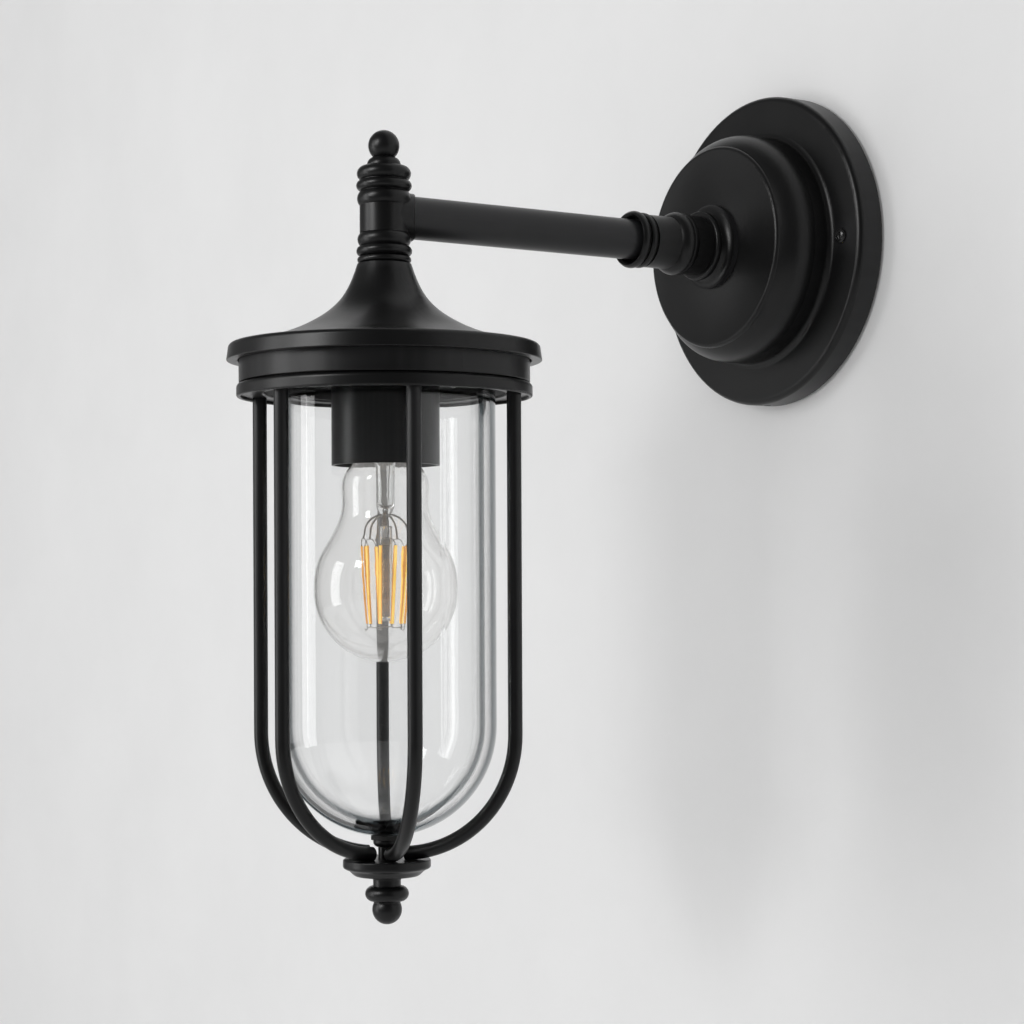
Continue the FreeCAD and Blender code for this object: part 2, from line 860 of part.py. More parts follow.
def bulb_curve(inset):
    """Bulb outline points from its neck to where the round bottom begins."""
    points = []
    for radius_share, drop_share in bulb_curve_shares:
        points.append(at(bulb_radius * radius_share - inset, bulb_base_foot - bulb_reach * drop_share))
    return points


def bulb_glass():
    """The thin clear envelope, open at its neck where it stands in the base."""
    neck_top = bulb_base_foot + bulb_neck_grip
    downwards = at(0, -1)

    def side(inset):
        radius = bulb_radius - inset
        neck = at(bulb_neck_radius - inset, bulb_base_foot)
        waist = at(radius, bulb_centre)
        flank = curve([neck] + bulb_curve(inset) + [waist], downwards, downwards)
        diagonal = radius * math.cos(eighth_turn)
        bottom = arc(waist, at(diagonal, bulb_centre - diagonal), at(0, bulb_centre - radius))
        return [line(at(neck.x, neck_top), neck), flank, bottom]

    edges = side(0) + side(bulb_wall)
    edges.append(line(at(bulb_neck_radius, neck_top), at(bulb_neck_radius - bulb_wall, neck_top)))
    bottom = bulb_centre - bulb_radius
    edges.append(line(at(0, bottom), at(0, bottom + bulb_wall)))
    return at_lantern(turned(edges))


bulb_stem_top = bulb_base_foot + bulb_neck_grip / 2
bulb_stem_foot = bulb_stem_top - bulb_stem_length
bulb_post_top = bulb_stem_foot - bulb_post_gap
filament_top = bulb_post_top - filament_drop
filament_foot = filament_top - filament_length


def bulb_stem():
    """The glass stem: a flare inside the neck, a pressed tube and the thin post under it."""
    flare_radius = bulb_neck_radius - bulb_wall - bulb_wall / 4
    flare_foot = bulb_stem_top - bulb_neck_grip / 2
    flare = rounded_path([
        (0, bulb_stem_top, 0),
        (flare_radius, bulb_stem_top, 0),
        (flare_radius, flare_foot, 0),
        (bulb_stem_radius, flare_foot - bulb_neck_grip, bulb_neck_grip),
        (bulb_stem_radius, bulb_stem_foot, bulb_stem_radius / 3),
        (bulb_post_radius / 2, bulb_stem_foot - bulb_post_radius, 0),
        (bulb_post_radius / 2, bulb_post_top, 0),
        (bulb_post_radius, bulb_post_top, 0),
        (bulb_post_radius, bulb_post_top - bulb_post_length, bulb_post_radius / 2),
        (0, bulb_post_top - bulb_post_length, 0),
    ])
    return at_lantern(turned(flare))


def filament_ends(index):
    """Top and foot of one filament: each foot is turned a quarter of the pitch on from its top."""
    pitch = full_turn / filament_count
    top = turned_about_z(Part.Vertex(at(filament_top_circle, filament_top)), pitch * index)
    foot = turned_about_z(Part.Vertex(at(filament_foot_circle, filament_foot)), pitch * (index + 1 / 4))
    return top.Point, foot.Point


def bulb_filaments():
    """Straight glowing strips set in a slightly tapered ring."""
    strips = []
    for index in range(filament_count):
        top, foot = filament_ends(index)
        strips.append(Part.makeCylinder(filament_radius, (top - foot).Length, foot, top - foot))
    return at_lantern(Part.makeCompound(strips))


def top_wire():
    """A curved wire from the stem's foot out to the top of the first filament."""
    start = at(bulb_post_radius / 2 + support_wire_radius, bulb_stem_foot - bulb_post_radius)
    end = at(filament_top_circle, filament_top + support_wire_radius)
    middle = at(
        start.x + (end.x - start.x) * math.sin(eighth_turn),
        end.z + (start.z - end.z) * math.sin(eighth_turn),
    )
    bend = arc(start, middle, end)
    section = Part.makeCircle(support_wire_radius, start, bend.tangentAt(bend.FirstParameter))
    return Part.Wire([bend]).makePipeShell([Part.Wire([section])], True, False)


def foot_wire():
    """A short straight wire that joins the feet of the first two filaments from below."""
    drop = z_axis * (support_wire_radius + support_wire_clearance)
    first = filament_ends(0)[1] - drop
    along = filament_ends(1)[1] - drop - first
    return Part.makeCylinder(support_wire_radius, along.Length, first, along)


def bulb_support_wires():
    """Wires to the tops of every other filament, and wires that join the feet in pairs."""
    wires = []
    for index in range(filament_count // 2):
        for wire in (top_wire(), foot_wire()):
            wires.append(turned_about_z(wire, full_turn * index * 2 / filament_count))
    return at_lantern(Part.makeCompound(wires))


# Cage


def cage_ring():
    """The ring with its round shoulder, hollow underside and the spigot that turns up inside the band."""
    rim_inner = ring_radius - ring_rim_width
    spigot_top = ring_top + ring_spigot_height
    edges = rounded_path([
        (band_radius - ring_corner / 2, ring_top, 0),
        (ring_radius, ring_top, ring_shoulder_round),
        (ring_radius, ring_foot, ring_edge_round),
        (rim_inner, ring_foot, ring_edge_round / 2),
        (rim_inner, ring_recess_roof, 0),
        (ring_bore_radius, ring_recess_roof, ring_corner / 2),
        (ring_bore_radius, spigot_top, ring_corner / 2),
        (ring_spigot_radius, spigot_top, ring_corner / 2),
        (ring_spigot_radius, ring_top, 0),
    ])
    ring = turned(edges)
    socket = rod(rod_radius + rod_socket_clearance, ring_foot - cut_overrun, ring_foot + rod_socket_depth)
    for turn in rod_turns:
        ring = ring.cut(turned_about_z(across_plate(socket, rod_circle), turn - quarter_turn))
    return at_lantern(ring)


def cage_rod(turn):
    """One round rod: straight down, then a quarter bend in towards the hub."""
    top = at(rod_circle, ring_foot + rod_socket_depth - rod_socket_clearance)
    bend = at(rod_circle, rod_bend_height)
    half_angle = rod_tip_angle / 2
    middle = at(rod_reach_inside + rod_bend_radius * math.cos(half_angle),
                rod_bend_height - rod_bend_radius * math.sin(half_angle))
    tip = at(rod_tip_circle, rod_tip_height)
    path = Part.Wire([line(top, bend), arc(bend, middle, tip)])
    section = Part.Wire([Part.makeCircle(rod_radius, top, z_axis)])
    bar = path.makePipeShell([section], True, False)
    return at_lantern(turned_about_z(bar, turn - quarter_turn))


def cage_hub():
    """The disc that gathers the rods, notched to seat them, with its rounded underside."""
    rim_foot = hub_top - hub_rim_height
    neck_top = hub_foot + finial_neck_height / 2
    underside = curve([
        at(hub_radius, rim_foot + hub_rim_height / 4),
        at((hub_radius + hub_waist_radius) / 2 + hub_rim_height / 8, rim_foot - hub_rim_height / 4),
        at(hub_waist_radius, neck_top + hub_rim_height / 8),
        at(hub_neck_radius + hub_rim_height / 4, neck_top),
        at(hub_neck_radius, hub_foot),
    ], at(0, -1), at(0, -1))
    edges = rounded_path([
        (0, hub_foot, 0),
        (0, hub_top, 0),
        (hub_radius, hub_top, hub_rim_height / 5),
        (hub_radius, rim_foot + hub_rim_height / 4, 0),
    ], closed=False)
    edges += [underside, line(at(hub_neck_radius, hub_foot), at(0, hub_foot))]
    hub = turned(edges)
    hub = hub.cut(rod(rest_stud_radius + stud_clearance, hub_foot - cut_overrun, hub_top + cut_overrun))
    hub = at_lantern(hub)
    for turn in rod_turns:
        hub = hub.cut(cage_rod(turn))
    return hub


pad_foot = glass_foot - rest_pad_clearance - rest_pad_thickness


def glass_rest_post():
    """The post that stands on the hub under the glass, with its rounded flange and long stud."""
    flange_foot = pad_foot - rest_flange_height
    stud_foot = hub_top - rest_stud_length
    flange_side = arc(
        at(rest_flange_radius * math.cos(math.pi / 12), pad_foot),
        at(rest_flange_radius, pad_foot - rest_flange_height / 3),
        at(rest_post_radius, flange_foot),
    )
    edges = [
        line(at(0, pad_foot), at(rest_flange_radius * math.cos(math.pi / 12), pad_foot)),
        flange_side,
        line(at(rest_post_radius, flange_foot), at(rest_post_radius, hub_top)),
        line(at(rest_post_radius, hub_top), at(rest_stud_radius, hub_top)),
        line(at(rest_stud_radius, hub_top), at(rest_stud_radius, stud_foot)),
        line(at(rest_stud_radius, stud_foot), at(0, stud_foot)),
        line(at(0, stud_foot), at(0, pad_foot)),
    ]
    return at_lantern(turned(edges))


def glass_rest_pad():
    """The soft pad, dished to the glass's round bottom."""
    pad = rod(rest_pad_radius, pad_foot, glass_foot + rest_pad_thickness)
    ball = Part.makeSphere(glass_radius + rest_pad_clearance, at(0, glass_centre))
    return at_lantern(pad.cut(ball))


def glass_cylinder():
    """The clear tube with its hemispherical bottom, one even wall throughout."""
    inner = glass_radius - glass_wall
    lip_height = glass_top - glass_wall / 2
    lip_crown = at(glass_radius - glass_wall / 2, glass_top)
    lip = arc(at(glass_radius, lip_height), lip_crown, at(inner, lip_height))

    def round_bottom(radius):
        diagonal = radius * math.cos(eighth_turn)
        middle = at(diagonal, glass_centre - diagonal)
        return arc(at(radius, glass_centre), middle, at(0, glass_centre - radius))

    edges = [
        line(at(glass_radius, glass_centre), at(glass_radius, lip_height)),
        lip,
        line(at(inner, lip_height), at(inner, glass_centre)),
        round_bottom(inner),
        line(at(0, glass_centre - inner), at(0, glass_foot)),
        round_bottom(glass_radius),
    ]
    return at_lantern(turned(edges))


def glass_gasket():
    """The soft cap ring that centres the glass's top in the cage ring."""
    outer = ring_bore_radius - glass_gasket_clearance
    inner = glass_radius - glass_wall
    skirt_bore = glass_radius + glass_gasket_clearance
    roof = glass_top + glass_gasket_clearance
    top = roof + glass_gasket_height
    edges = rounded_path([
        (inner, top, 0),
        (outer, top, glass_gasket_height / 3),
        (outer, roof - glass_gasket_skirt, 0),
        (skirt_bore, roof - glass_gasket_skirt, 0),
        (skirt_bore, roof, 0),
        (inner, roof, 0),
    ])
    return at_lantern(turned(edges))


def bottom_finial():
    """The turned bead and ball that screw on the post's stud under the hub."""
    bead_top = hub_foot - finial_neck_height
    bead_middle = bead_top - finial_bead_height / 2
    bead_foot = bead_top - finial_bead_height
    waist_foot = bead_foot - finial_waist_height
    ball_centre = waist_foot - math.sqrt(finial_ball_radius ** 2 - finial_waist_radius ** 2)
    edges = [
        line(at(0, hub_foot), at(finial_neck_radius, hub_foot)),
        line(at(finial_neck_radius, hub_foot), at(finial_neck_radius, bead_top)),
        arc(at(finial_neck_radius, bead_top), at(finial_bead_radius, bead_middle),
            at(finial_waist_radius, bead_foot)),
        line(at(finial_waist_radius, bead_foot), at(finial_waist_radius, waist_foot)),
        arc(at(finial_waist_radius, waist_foot), at(finial_ball_radius, ball_centre),
            at(0, ball_centre - finial_ball_radius)),
        line(at(0, ball_centre - finial_ball_radius), at(0, hub_foot)),
    ]
    bore_top = hub_top - rest_stud_length - stud_clearance
    stud_bore = rod(rest_stud_radius + stud_clearance, bore_top, hub_foot + cut_overrun)
    return at_lantern(turned(edges).cut(stud_bore))


pieces = {
    "wall_bracket": wall_bracket(),
    "ground_screw": ground_screw(),
    "canopy_gasket": canopy_gasket(),
    "canopy": canopy(),
    "canopy_screws": canopy_screws(),
    "arm_socket": arm_socket(),
    "arm_nipple": arm_nipple(),
    "arm_washer": arm_washer(),
    "arm_lock_nut": arm_lock_nut(),
    "arm_tube": arm_tube(),
    "stem": stem(),
    "top_finial": top_finial(),
    "bell_cap": bell_cap(),
    "fitter_pan": fitter_pan(),
    "lamp_nipple": lamp_nipple(),
    "lamp_nut": lamp_nut(),
    "holder_cover": holder_cover(),
    "holder_body": holder_body(),
    "holder_shell": holder_shell(),
    "holder_contact": holder_contact(),
    "bulb_base": bulb_base(),
    "bulb_glass": bulb_glass(),
    "bulb_stem": bulb_stem(),
    "bulb_filaments": bulb_filaments(),
    "bulb_support_wires": bulb_support_wires(),
    "cage_ring": cage_ring(),
    "cage_hub": cage_hub(),
    "glass_cylinder": glass_cylinder(),
    "glass_gasket": glass_gasket(),
    "glass_rest_post": glass_rest_post(),
    "glass_rest_pad": glass_rest_pad(),
    "bottom_finial": bottom_finial(),
}
for number, turn in enumerate(rod_turns, start=1):
    pieces[f"cage_rod_{number}"] = cage_rod(turn)

os.makedirs("parts", exist_ok=True)
for name, shape in pieces.items():
    if not shape.isValid():
        raise ValueError(f"{name} is not a valid solid")
    shape.exportStep(f"parts/{name}.step")
    print(f"{name:20s} solids {len(shape.Solids)} volume {shape.Volume:10.1f}")
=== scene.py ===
import math

import bmesh
import bpy
from mathutils import Matrix, Vector


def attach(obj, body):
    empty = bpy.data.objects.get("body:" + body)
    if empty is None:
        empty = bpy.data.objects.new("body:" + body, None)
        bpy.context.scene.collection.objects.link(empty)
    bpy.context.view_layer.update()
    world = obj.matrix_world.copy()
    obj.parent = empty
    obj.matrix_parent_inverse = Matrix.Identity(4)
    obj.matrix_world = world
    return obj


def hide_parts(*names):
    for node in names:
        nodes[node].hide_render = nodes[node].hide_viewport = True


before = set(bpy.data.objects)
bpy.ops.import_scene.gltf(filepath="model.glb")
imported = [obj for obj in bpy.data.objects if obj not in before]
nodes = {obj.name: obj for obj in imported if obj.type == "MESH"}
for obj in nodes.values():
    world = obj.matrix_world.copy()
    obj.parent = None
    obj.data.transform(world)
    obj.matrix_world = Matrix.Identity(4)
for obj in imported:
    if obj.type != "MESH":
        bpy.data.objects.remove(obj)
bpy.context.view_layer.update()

# Outdoor wall light: black canopy, arm, bell cap and rod cage round a clear glass cylinder.
# The wall is at y = 0, the lantern's axis stands armReach in front of it.

mm = 0.001
armReach = 214 * mm
lanternAxis = Vector((0, -armReach, 0))
print("frame loaded:", len(nodes), "nodes")


# camera, fitted to the outlines in the photograph

cameraView = {
    "place": (0.8596, -0.7252, -0.1585),  # metres
    "azimuth": 56.25,                     # degrees round the lantern
    "roll": -0.25,
    "focalPixels": 2400,
    "pictureSide": 1024,
    "sensor": 36,
    "horizonRow": 595.6,
}


def makeCamera(view):
    data = bpy.data.cameras.new("camera")
    data.sensor_width = view["sensor"]
    data.lens = view["focalPixels"] / view["pictureSide"] * view["sensor"]
    data.shift_y = (view["horizonRow"] - view["pictureSide"] / 2) / view["pictureSide"]
    camera = bpy.data.objects.new("camera", data)
    turn = Matrix.Rotation(math.radians(view["azimuth"]), 4, "Z")
    level = Matrix.Rotation(math.radians(90), 4, "X")
    roll = Matrix.Rotation(math.radians(view["roll"]), 4, "Z")
    camera.matrix_world = Matrix.Translation(view["place"]) @ turn @ level @ roll
    bpy.context.collection.objects.link(camera)
    bpy.context.scene.camera = camera


makeCamera(cameraView)
print("camera placed")


# material building blocks

def newMaterial(name):
    material = bpy.data.materials.new(name)
    material.use_nodes = True
    tree = material.node_tree
    return material, tree, tree.nodes["Principled BSDF"]


def objectCoordinates(tree):
    return tree.nodes.new("ShaderNodeTexCoord").outputs["Object"]


def addNoise(tree, scale, detail, roughness=0.5, stretch=(1, 1, 1)):
    mapping = tree.nodes.new("ShaderNodeMapping")
    mapping.inputs["Scale"].default_value = stretch
    tree.links.new(objectCoordinates(tree), mapping.inputs["Vector"])
    noise = tree.nodes.new("ShaderNodeTexNoise")
    noise.inputs["Scale"].default_value = scale
    noise.inputs["Detail"].default_value = detail
    noise.inputs["Roughness"].default_value = roughness
    tree.links.new(mapping.outputs["Vector"], noise.inputs["Vector"])
    return noise.outputs["Fac"]


# most of a noise lies between 0.3 and 0.7
def addRange(tree, value, low, high, fromLow=0.3, fromHigh=0.7):
    ranged = tree.nodes.new("ShaderNodeMapRange")
    ranged.inputs["From Min"].default_value = fromLow
    ranged.inputs["From Max"].default_value = fromHigh
    ranged.inputs["To Min"].default_value = low
    ranged.inputs["To Max"].default_value = high
    tree.links.new(value, ranged.inputs["Value"])
    return ranged.outputs["Result"]


# the mix node's colour sockets have no names of their own: 6 and 7 go in, 2 comes out
def addMix(tree, factor, first, second):
    mix = tree.nodes.new("ShaderNodeMix")
    mix.data_type = "RGBA"
    tree.links.new(factor, mix.inputs["Factor"])
    for socket, colour in ((mix.inputs[6], first), (mix.inputs[7], second)):
        if isinstance(colour, bpy.types.NodeSocket):
            tree.links.new(colour, socket)
        else:
            socket.default_value = (*colour, 1)
    return mix.outputs[2]


def addBump(tree, shader, height, strength, distance):
    bump = tree.nodes.new("ShaderNodeBump")
    bump.inputs["Strength"].default_value = strength
    bump.inputs["Distance"].default_value = distance
    tree.links.new(height, bump.inputs["Height"])
    tree.links.new(bump.outputs["Normal"], shader.inputs["Normal"])


surfaceDetail = {"cloud": 4, "grain": 2, "bumpStrength": 0.5}


def cloudAndGrain(tree, look):
    cloud = addNoise(tree, look["cloudScale"], surfaceDetail["cloud"])
    grain = addNoise(tree, look["grainScale"], surfaceDetail["grain"])
    tone = addMix(tree, addRange(tree, cloud, 0, 1), look["dark"], look["light"])
    return cloud, grain, tone


# black powder coat, with a painted highlight on its sharp edges: a lighter colour where the mesh is pointy

coatLook = {
    "dark": (0.0036, 0.0036, 0.0038),
    "light": (0.0052, 0.0052, 0.0055),
    # painted highlight: the lighter colour given to the sharp edges
    "edge": (0.016, 0.016, 0.017),
    "edgeFrom": 0.53,
    "edgeTo": 0.62,
    "smooth": 0.3,
    "rough": 0.37,
    "specular": 0.32,
    "grainScale": 1500,
    "cloudScale": 28,
    "bump": 0.00004,
}


def powderCoat(name, look):
    material, tree, shader = newMaterial(name)
    cloud, grain, tone = cloudAndGrain(tree, look)
    geometry = tree.nodes.new("ShaderNodeNewGeometry")
    # painted highlight: pointiness mixes the lighter edge colour into the coat's sharp edges
    edge = addRange(tree, geometry.outputs["Pointiness"], 0, 1, look["edgeFrom"], look["edgeTo"])
    tree.links.new(addMix(tree, edge, tone, look["edge"]), shader.inputs["Base Color"])
    tree.links.new(addRange(tree, cloud, look["smooth"], look["rough"]), shader.inputs["Roughness"])
    shader.inputs["Specular IOR Level"].default_value = look["specular"]
    addBump(tree, shader, grain, surfaceDetail["bumpStrength"], look["bump"])
    return material


# metals, ceramic, rubber

metalLooks = {
    "zincSteel": {"dark": (0.42, 0.43, 0.44), "light": (0.6, 0.61, 0.62), "metallic": 1, "smooth": 0.28,
                  "rough": 0.45, "cloudScale": 60, "grainScale": 900, "bump": 0.00003},
    "brass": {"dark": (0.5, 0.33, 0.12), "light": (0.72, 0.52, 0.24), "metallic": 1, "smooth": 0.2,
              "rough": 0.36, "cloudScale": 90, "grainScale": 1200, "bump": 0.00002},
    "nickel": {"dark": (0.52, 0.51, 0.48), "light": (0.72, 0.71, 0.68), "metallic": 1, "smooth": 0.16,
               "rough": 0.3, "cloudScale": 90, "grainScale": 1200, "bump": 0.00002},
    "wire": {"dark": (0.3, 0.29, 0.28), "light": (0.55, 0.53, 0.5), "metallic": 0.4, "smooth": 0.25,
             "rough": 0.4, "cloudScale": 300, "grainScale": 2500, "bump": 0.00001},
    "ceramic": {"dark": (0.74, 0.72, 0.67), "light": (0.82, 0.8, 0.76), "metallic": 0, "smooth": 0.18,
                "rough": 0.32, "cloudScale": 50, "grainScale": 400, "bump": 0.00003},
    "rubber": {"dark": (0.012, 0.012, 0.012), "light": (0.022, 0.022, 0.021), "metallic": 0, "smooth": 0.7,
               "rough": 0.9, "cloudScale": 120, "grainScale": 2200, "bump": 0.00012},
    # painted reflection and shade: the brown of the rod inside the glass post
    "postPaintedReflection": {"dark": (0.3, 0.18, 0.08), "light": (0.5, 0.32, 0.15), "metallic": 0.8, "smooth": 0.16,
                  "rough": 0.34, "cloudScale": 260, "grainScale": 2400, "bump": 0.00002},
    "spliceBrown": {"dark": (0.3, 0.23, 0.19), "light": (0.5, 0.43, 0.36), "metallic": 0.1, "smooth": 0.3,
                    "rough": 0.5, "cloudScale": 700, "grainScale": 3000, "bump": 0.00002},
    "capGlass": {"dark": (0.012, 0.011, 0.016), "light": (0.03, 0.028, 0.036), "metallic": 0,
                 "smooth": 0.08, "rough": 0.16, "cloudScale": 240, "grainScale": 900, "bump": 0.00001},
    "screwBlack": {"dark": (0.006, 0.006, 0.006), "light": (0.012, 0.012, 0.012), "metallic": 0,
                   "smooth": 0.2, "rough": 0.34, "cloudScale": 200, "grainScale": 1800, "bump": 0.00002},
}


def grainyFinish(name, look):
    material, tree, shader = newMaterial(name)
    _, grain, tone = cloudAndGrain(tree, look)
    tree.links.new(tone, shader.inputs["Base Color"])
    tree.links.new(addRange(tree, grain, look["smooth"], look["rough"]), shader.inputs["Roughness"])
    shader.inputs["Metallic"].default_value = look["metallic"]
    addBump(tree, shader, grain, surfaceDetail["bumpStrength"], look["bump"])
    return material


# glass, with painted shade where it is seen on edge; the bulb's glass parts also get a faint painted glow

glassLooks = {
    "lanternGlass": {"tint": (0.992, 0.996, 0.996), "paintedEdgeShade": (0.02, 0.028, 0.032), "edgeFrom": 0.58,
                     "edgeTo": 0.7, "bend": 1.47, "gloss": 0.32, "glow": 0, "wave": 0.00003,
                     "waveScale": 18},
    "bulbGlass": {"tint": (0.93, 0.93, 0.93), "paintedEdgeShade": (0.5, 0.5, 0.5), "edgeFrom": 0.7,
                  "edgeTo": 0.95, "bend": 1.45, "gloss": 0.26, "glow": 0.035, "wave": 0.00002,
                  "waveScale": 60},
    "stemGlass": {"tint": (0.96, 0.97, 0.97), "paintedEdgeShade": (0.2, 0.2, 0.21), "edgeFrom": 0.45,
                  "edgeTo": 0.8, "bend": 1.5, "gloss": 0.5, "glow": 0.02, "wave": 0.00004,
                  "waveScale": 220},
    "postGlass": {"tint": (0.9, 0.91, 0.92), "paintedEdgeShade": (0.14, 0.14, 0.15), "edgeFrom": 0.45,
                  "edgeTo": 0.8, "bend": 1.5, "gloss": 0.5, "glow": 0.03, "wave": 0.00006,
                  "waveScale": 260},
}
glassWave = {"detail": 1, "stretch": (1, 1, 0.25), "bumpStrength": 0.4}
# painted light: the bulb's glass, stem and post emit a faint glow, though the bulb is not lit
glassPaintedGlowTint = (1, 0.97, 0.93)


def clearGlass(name, look):
    material, tree, shader = newMaterial(name)
    wave = addNoise(tree, look["waveScale"], glassWave["detail"], stretch=glassWave["stretch"])
    # painted shade: the facing mask darkens the glass where it is seen on edge
    slant = tree.nodes.new("ShaderNodeLayerWeight")
    edge = addRange(tree, slant.outputs["Facing"], 0, 1, look["edgeFrom"], look["edgeTo"])
    tree.links.new(addMix(tree, edge, look["tint"], look["paintedEdgeShade"]), shader.inputs["Base Color"])
    shader.inputs["Roughness"].default_value = 0
    shader.inputs["IOR"].default_value = look["bend"]
    shader.inputs["Transmission Weight"].default_value = 1
    shader.inputs["Specular IOR Level"].default_value = look["gloss"]
    # painted light: a faint glow from the glass itself
    shader.inputs["Emission Color"].default_value = (*glassPaintedGlowTint, 1)
    shader.inputs["Emission Strength"].default_value = look["glow"]
    addBump(tree, shader, wave, glassWave["bumpStrength"], look["wave"])
    return material


# filament strips: the coat has a painted glow, an emission though the bulb is not lit, on the faces and,
# deeper in tone, on the edges

filamentTones = {
    "filamentPaintedGlow": {"deep": (0.74, 0.44, 0.055), "bright": (0.86, 0.6, 0.16)},
    "filamentEdgePaintedGlow": {"deep": (0.42, 0.17, 0.016), "bright": (0.58, 0.27, 0.035)},
}
filamentLook = {"strength": 1.1, "rough": 0.5, "bandScale": 260, "bandDetail": 2, "stretch": (1, 1, 0.3)}


def phosphorPaintedGlow(name, tones, look):
    material, tree, shader = newMaterial(name)
    band = addNoise(tree, look["bandScale"], look["bandDetail"], stretch=look["stretch"])
    tone = addMix(tree, addRange(tree, band, 0, 1), tones["deep"], tones["bright"])
    tree.links.new(tone, shader.inputs["Base Color"])
    tree.links.new(tone, shader.inputs["Emission Color"])
    # painted light: the strips emit, though the bulb is not lit
    shader.inputs["Emission Strength"].default_value = look["strength"]
    shader.inputs["Roughness"].default_value = look["rough"]
    return material


finishes = {"blackCoat": powderCoat("blackCoat", coatLook)}
for name, look in metalLooks.items():
    finishes[name] = grainyFinish(name, look)
for name, look in glassLooks.items():
    finishes[name] = clearGlass(name, look)
for name, tones in filamentTones.items():
    finishes[name] = phosphorPaintedGlow(name, tones, filamentLook)

finishOfNode = {
    "wall_bracket": "zincSteel", "ground_screw": "brass", "canopy_gasket": "rubber", "canopy": "blackCoat",
    "canopy_screws": "screwBlack", "arm_socket": "blackCoat", "arm_nipple": "zincSteel",
    "arm_washer": "zincSteel", "arm_lock_nut": "zincSteel", "arm_tube": "blackCoat", "stem": "blackCoat",
    "top_finial": "blackCoat", "bell_cap": "blackCoat", "fitter_pan": "blackCoat",
    "lamp_nipple": "zincSteel", "lamp_nut": "zincSteel", "holder_cover": "blackCoat",
    "holder_body": "ceramic", "holder_shell": "brass", "holder_contact": "brass", "bulb_base": "nickel",
    "bulb_glass": "bulbGlass", "bulb_stem": "stemGlass", "bulb_filaments": "filamentPaintedGlow",
    "bulb_support_wires": "wire", "cage_ring": "blackCoat", "cage_hub": "blackCoat",
    "glass_cylinder": "lanternGlass", "glass_gasket": "rubber", "glass_rest_post": "blackCoat",
    "glass_rest_pad": "rubber", "bottom_finial": "blackCoat",
}
for number in range(1, 6):
    finishOfNode[f"cage_rod_{number}"] = "blackCoat"

for node, finish in finishOfNode.items():
    mesh = nodes[node].data
    mesh.materials.clear()
    mesh.materials.append(finishes[finish])
print("finishes given to the frame's nodes")


# mesh building blocks, all in millimetres from the piece's own axis

def pieceFrom(name, body, materials, smooth=True):
    mesh = bpy.data.meshes.new(name)
    body.to_mesh(mesh)
    body.free()
    for finish in materials:
        mesh.materials.append(finishes[finish])
    if smooth:
        mesh.polygons.foreach_set("use_smooth", [True] * len(mesh.polygons))
    piece = bpy.data.objects.new(name, mesh)
    bpy.context.collection.objects.link(piece)
    return piece


# joins rings of points into a skin; each ring has the same number of points
def skinRings(body, rings, place=None, closedEnds=False, loop=False):
    made = []
    for ring in rings:
        points = [place @ Vector(point) if place else Vector(point) for point in ring]
        made.append([body.verts.new(point * mm) for point in points])
    pairs = list(zip(made, made[1:]))
    if loop:
        pairs.append((made[-1], made[0]))
    for lower, upper in pairs:
        for step in range(len(lower)):
            following = (step + 1) % len(lower)
            body.faces.new((lower[step], lower[following], upper[following], upper[step]))
    if closedEnds:
        body.faces.new(made[0][::-1])
        body.faces.new(made[-1])


# one ring for each row of a profile: a radius and a height, or two half widths and a height
def profileRings(profile, steps, turn=0):
    rings = []
    for *halves, height in profile:
        ring = []
        for step in range(steps):
            angle = 2 * math.pi * step / steps
            across = halves[0] * math.cos(angle)
            along = halves[-1] * math.sin(angle)
            ring.append((across * math.cos(turn) - along * math.sin(turn),
                         across * math.sin(turn) + along * math.cos(turn), height))
        rings.append(ring)
    return rings


# rings along a screw thread: the crest climbs one pitch in each turn and fades out at both ends
def threadRings(thread, foot, top, inset=0):
    root = thread["root"] - inset
    crest = thread["crest"] - inset
    pitch = thread["pitch"]
    count = max(2, round((top - foot) / pitch * thread["rowsPerTurn"]))
    rings = []
    for row in range(count + 1):
        height = foot + (top - foot) * row / count
        fade = max(0, min(1, (height - foot) / pitch, (top - height) / pitch))
        swing = (crest - root) / 2 * fade
        ring = []
        for step in range(thread["steps"]):
            angle = 2 * math.pi * step / thread["steps"]
            radius = (root + crest) / 2 + swing * math.sin(2 * math.pi * height / pitch - angle)
            ring.append((radius * math.cos(angle), radius * math.sin(angle), height))
        rings.append(ring)
    return rings


def atLantern(piece):
    piece.location = lanternAxis
    return piece


# a solid piece on the lantern's axis, turned from one or more profiles
def turnedPiece(name, profiles, steps, finish):
    body = bmesh.new()
    for profile in profiles:
        skinRings(body, profileRings(profile, steps), closedEnds=True)
    return atLantern(pieceFrom(name, body, [finish]))


# turns a piece modelled upright so that its height runs out from the wall
wallTurn = Matrix.Rotation(math.radians(90), 4, "X")


# canopy screws: a low domed head with a six-lobed recess on a threaded shank

canopyScrew = {
    "places": (58.5, -58.5),
    "headFoot": 13.95,
    "headRadius": 3.25,
    "headBevel": 0.15,
    "edgeHeight": 0.75,
    "headHeight": 2.25,
    "domeShares": (0.94, 0.84, 0.72, 0.6),
    "lobes": 6,
    "lobeRadius": 1.75,
    "lobeDepth": 0.32,
    # rows down into the recess: how much wider than its lobes, how deep below the head's top
    "recess": ((0.08, 0.16), (0, 0.26), (-0.05, 1.23), (-0.25, 1.35)),
    "steps": 72,
}
canopyShank = {"root": 1.55, "crest": 1.94, "foot": 0.3, "top": 12.95, "pitch": 0.7, "rowsPerTurn": 6,
               "steps": 24}


def lobeRing(radius, sizes, height):
    ring = []
    for step in range(sizes["steps"]):
        angle = 2 * math.pi * step / sizes["steps"]
        here = radius - sizes["lobeDepth"] * (0.5 - 0.5 * math.cos(sizes["lobes"] * angle))
        ring.append((here * math.cos(angle), here * math.sin(angle), height))
    return ring


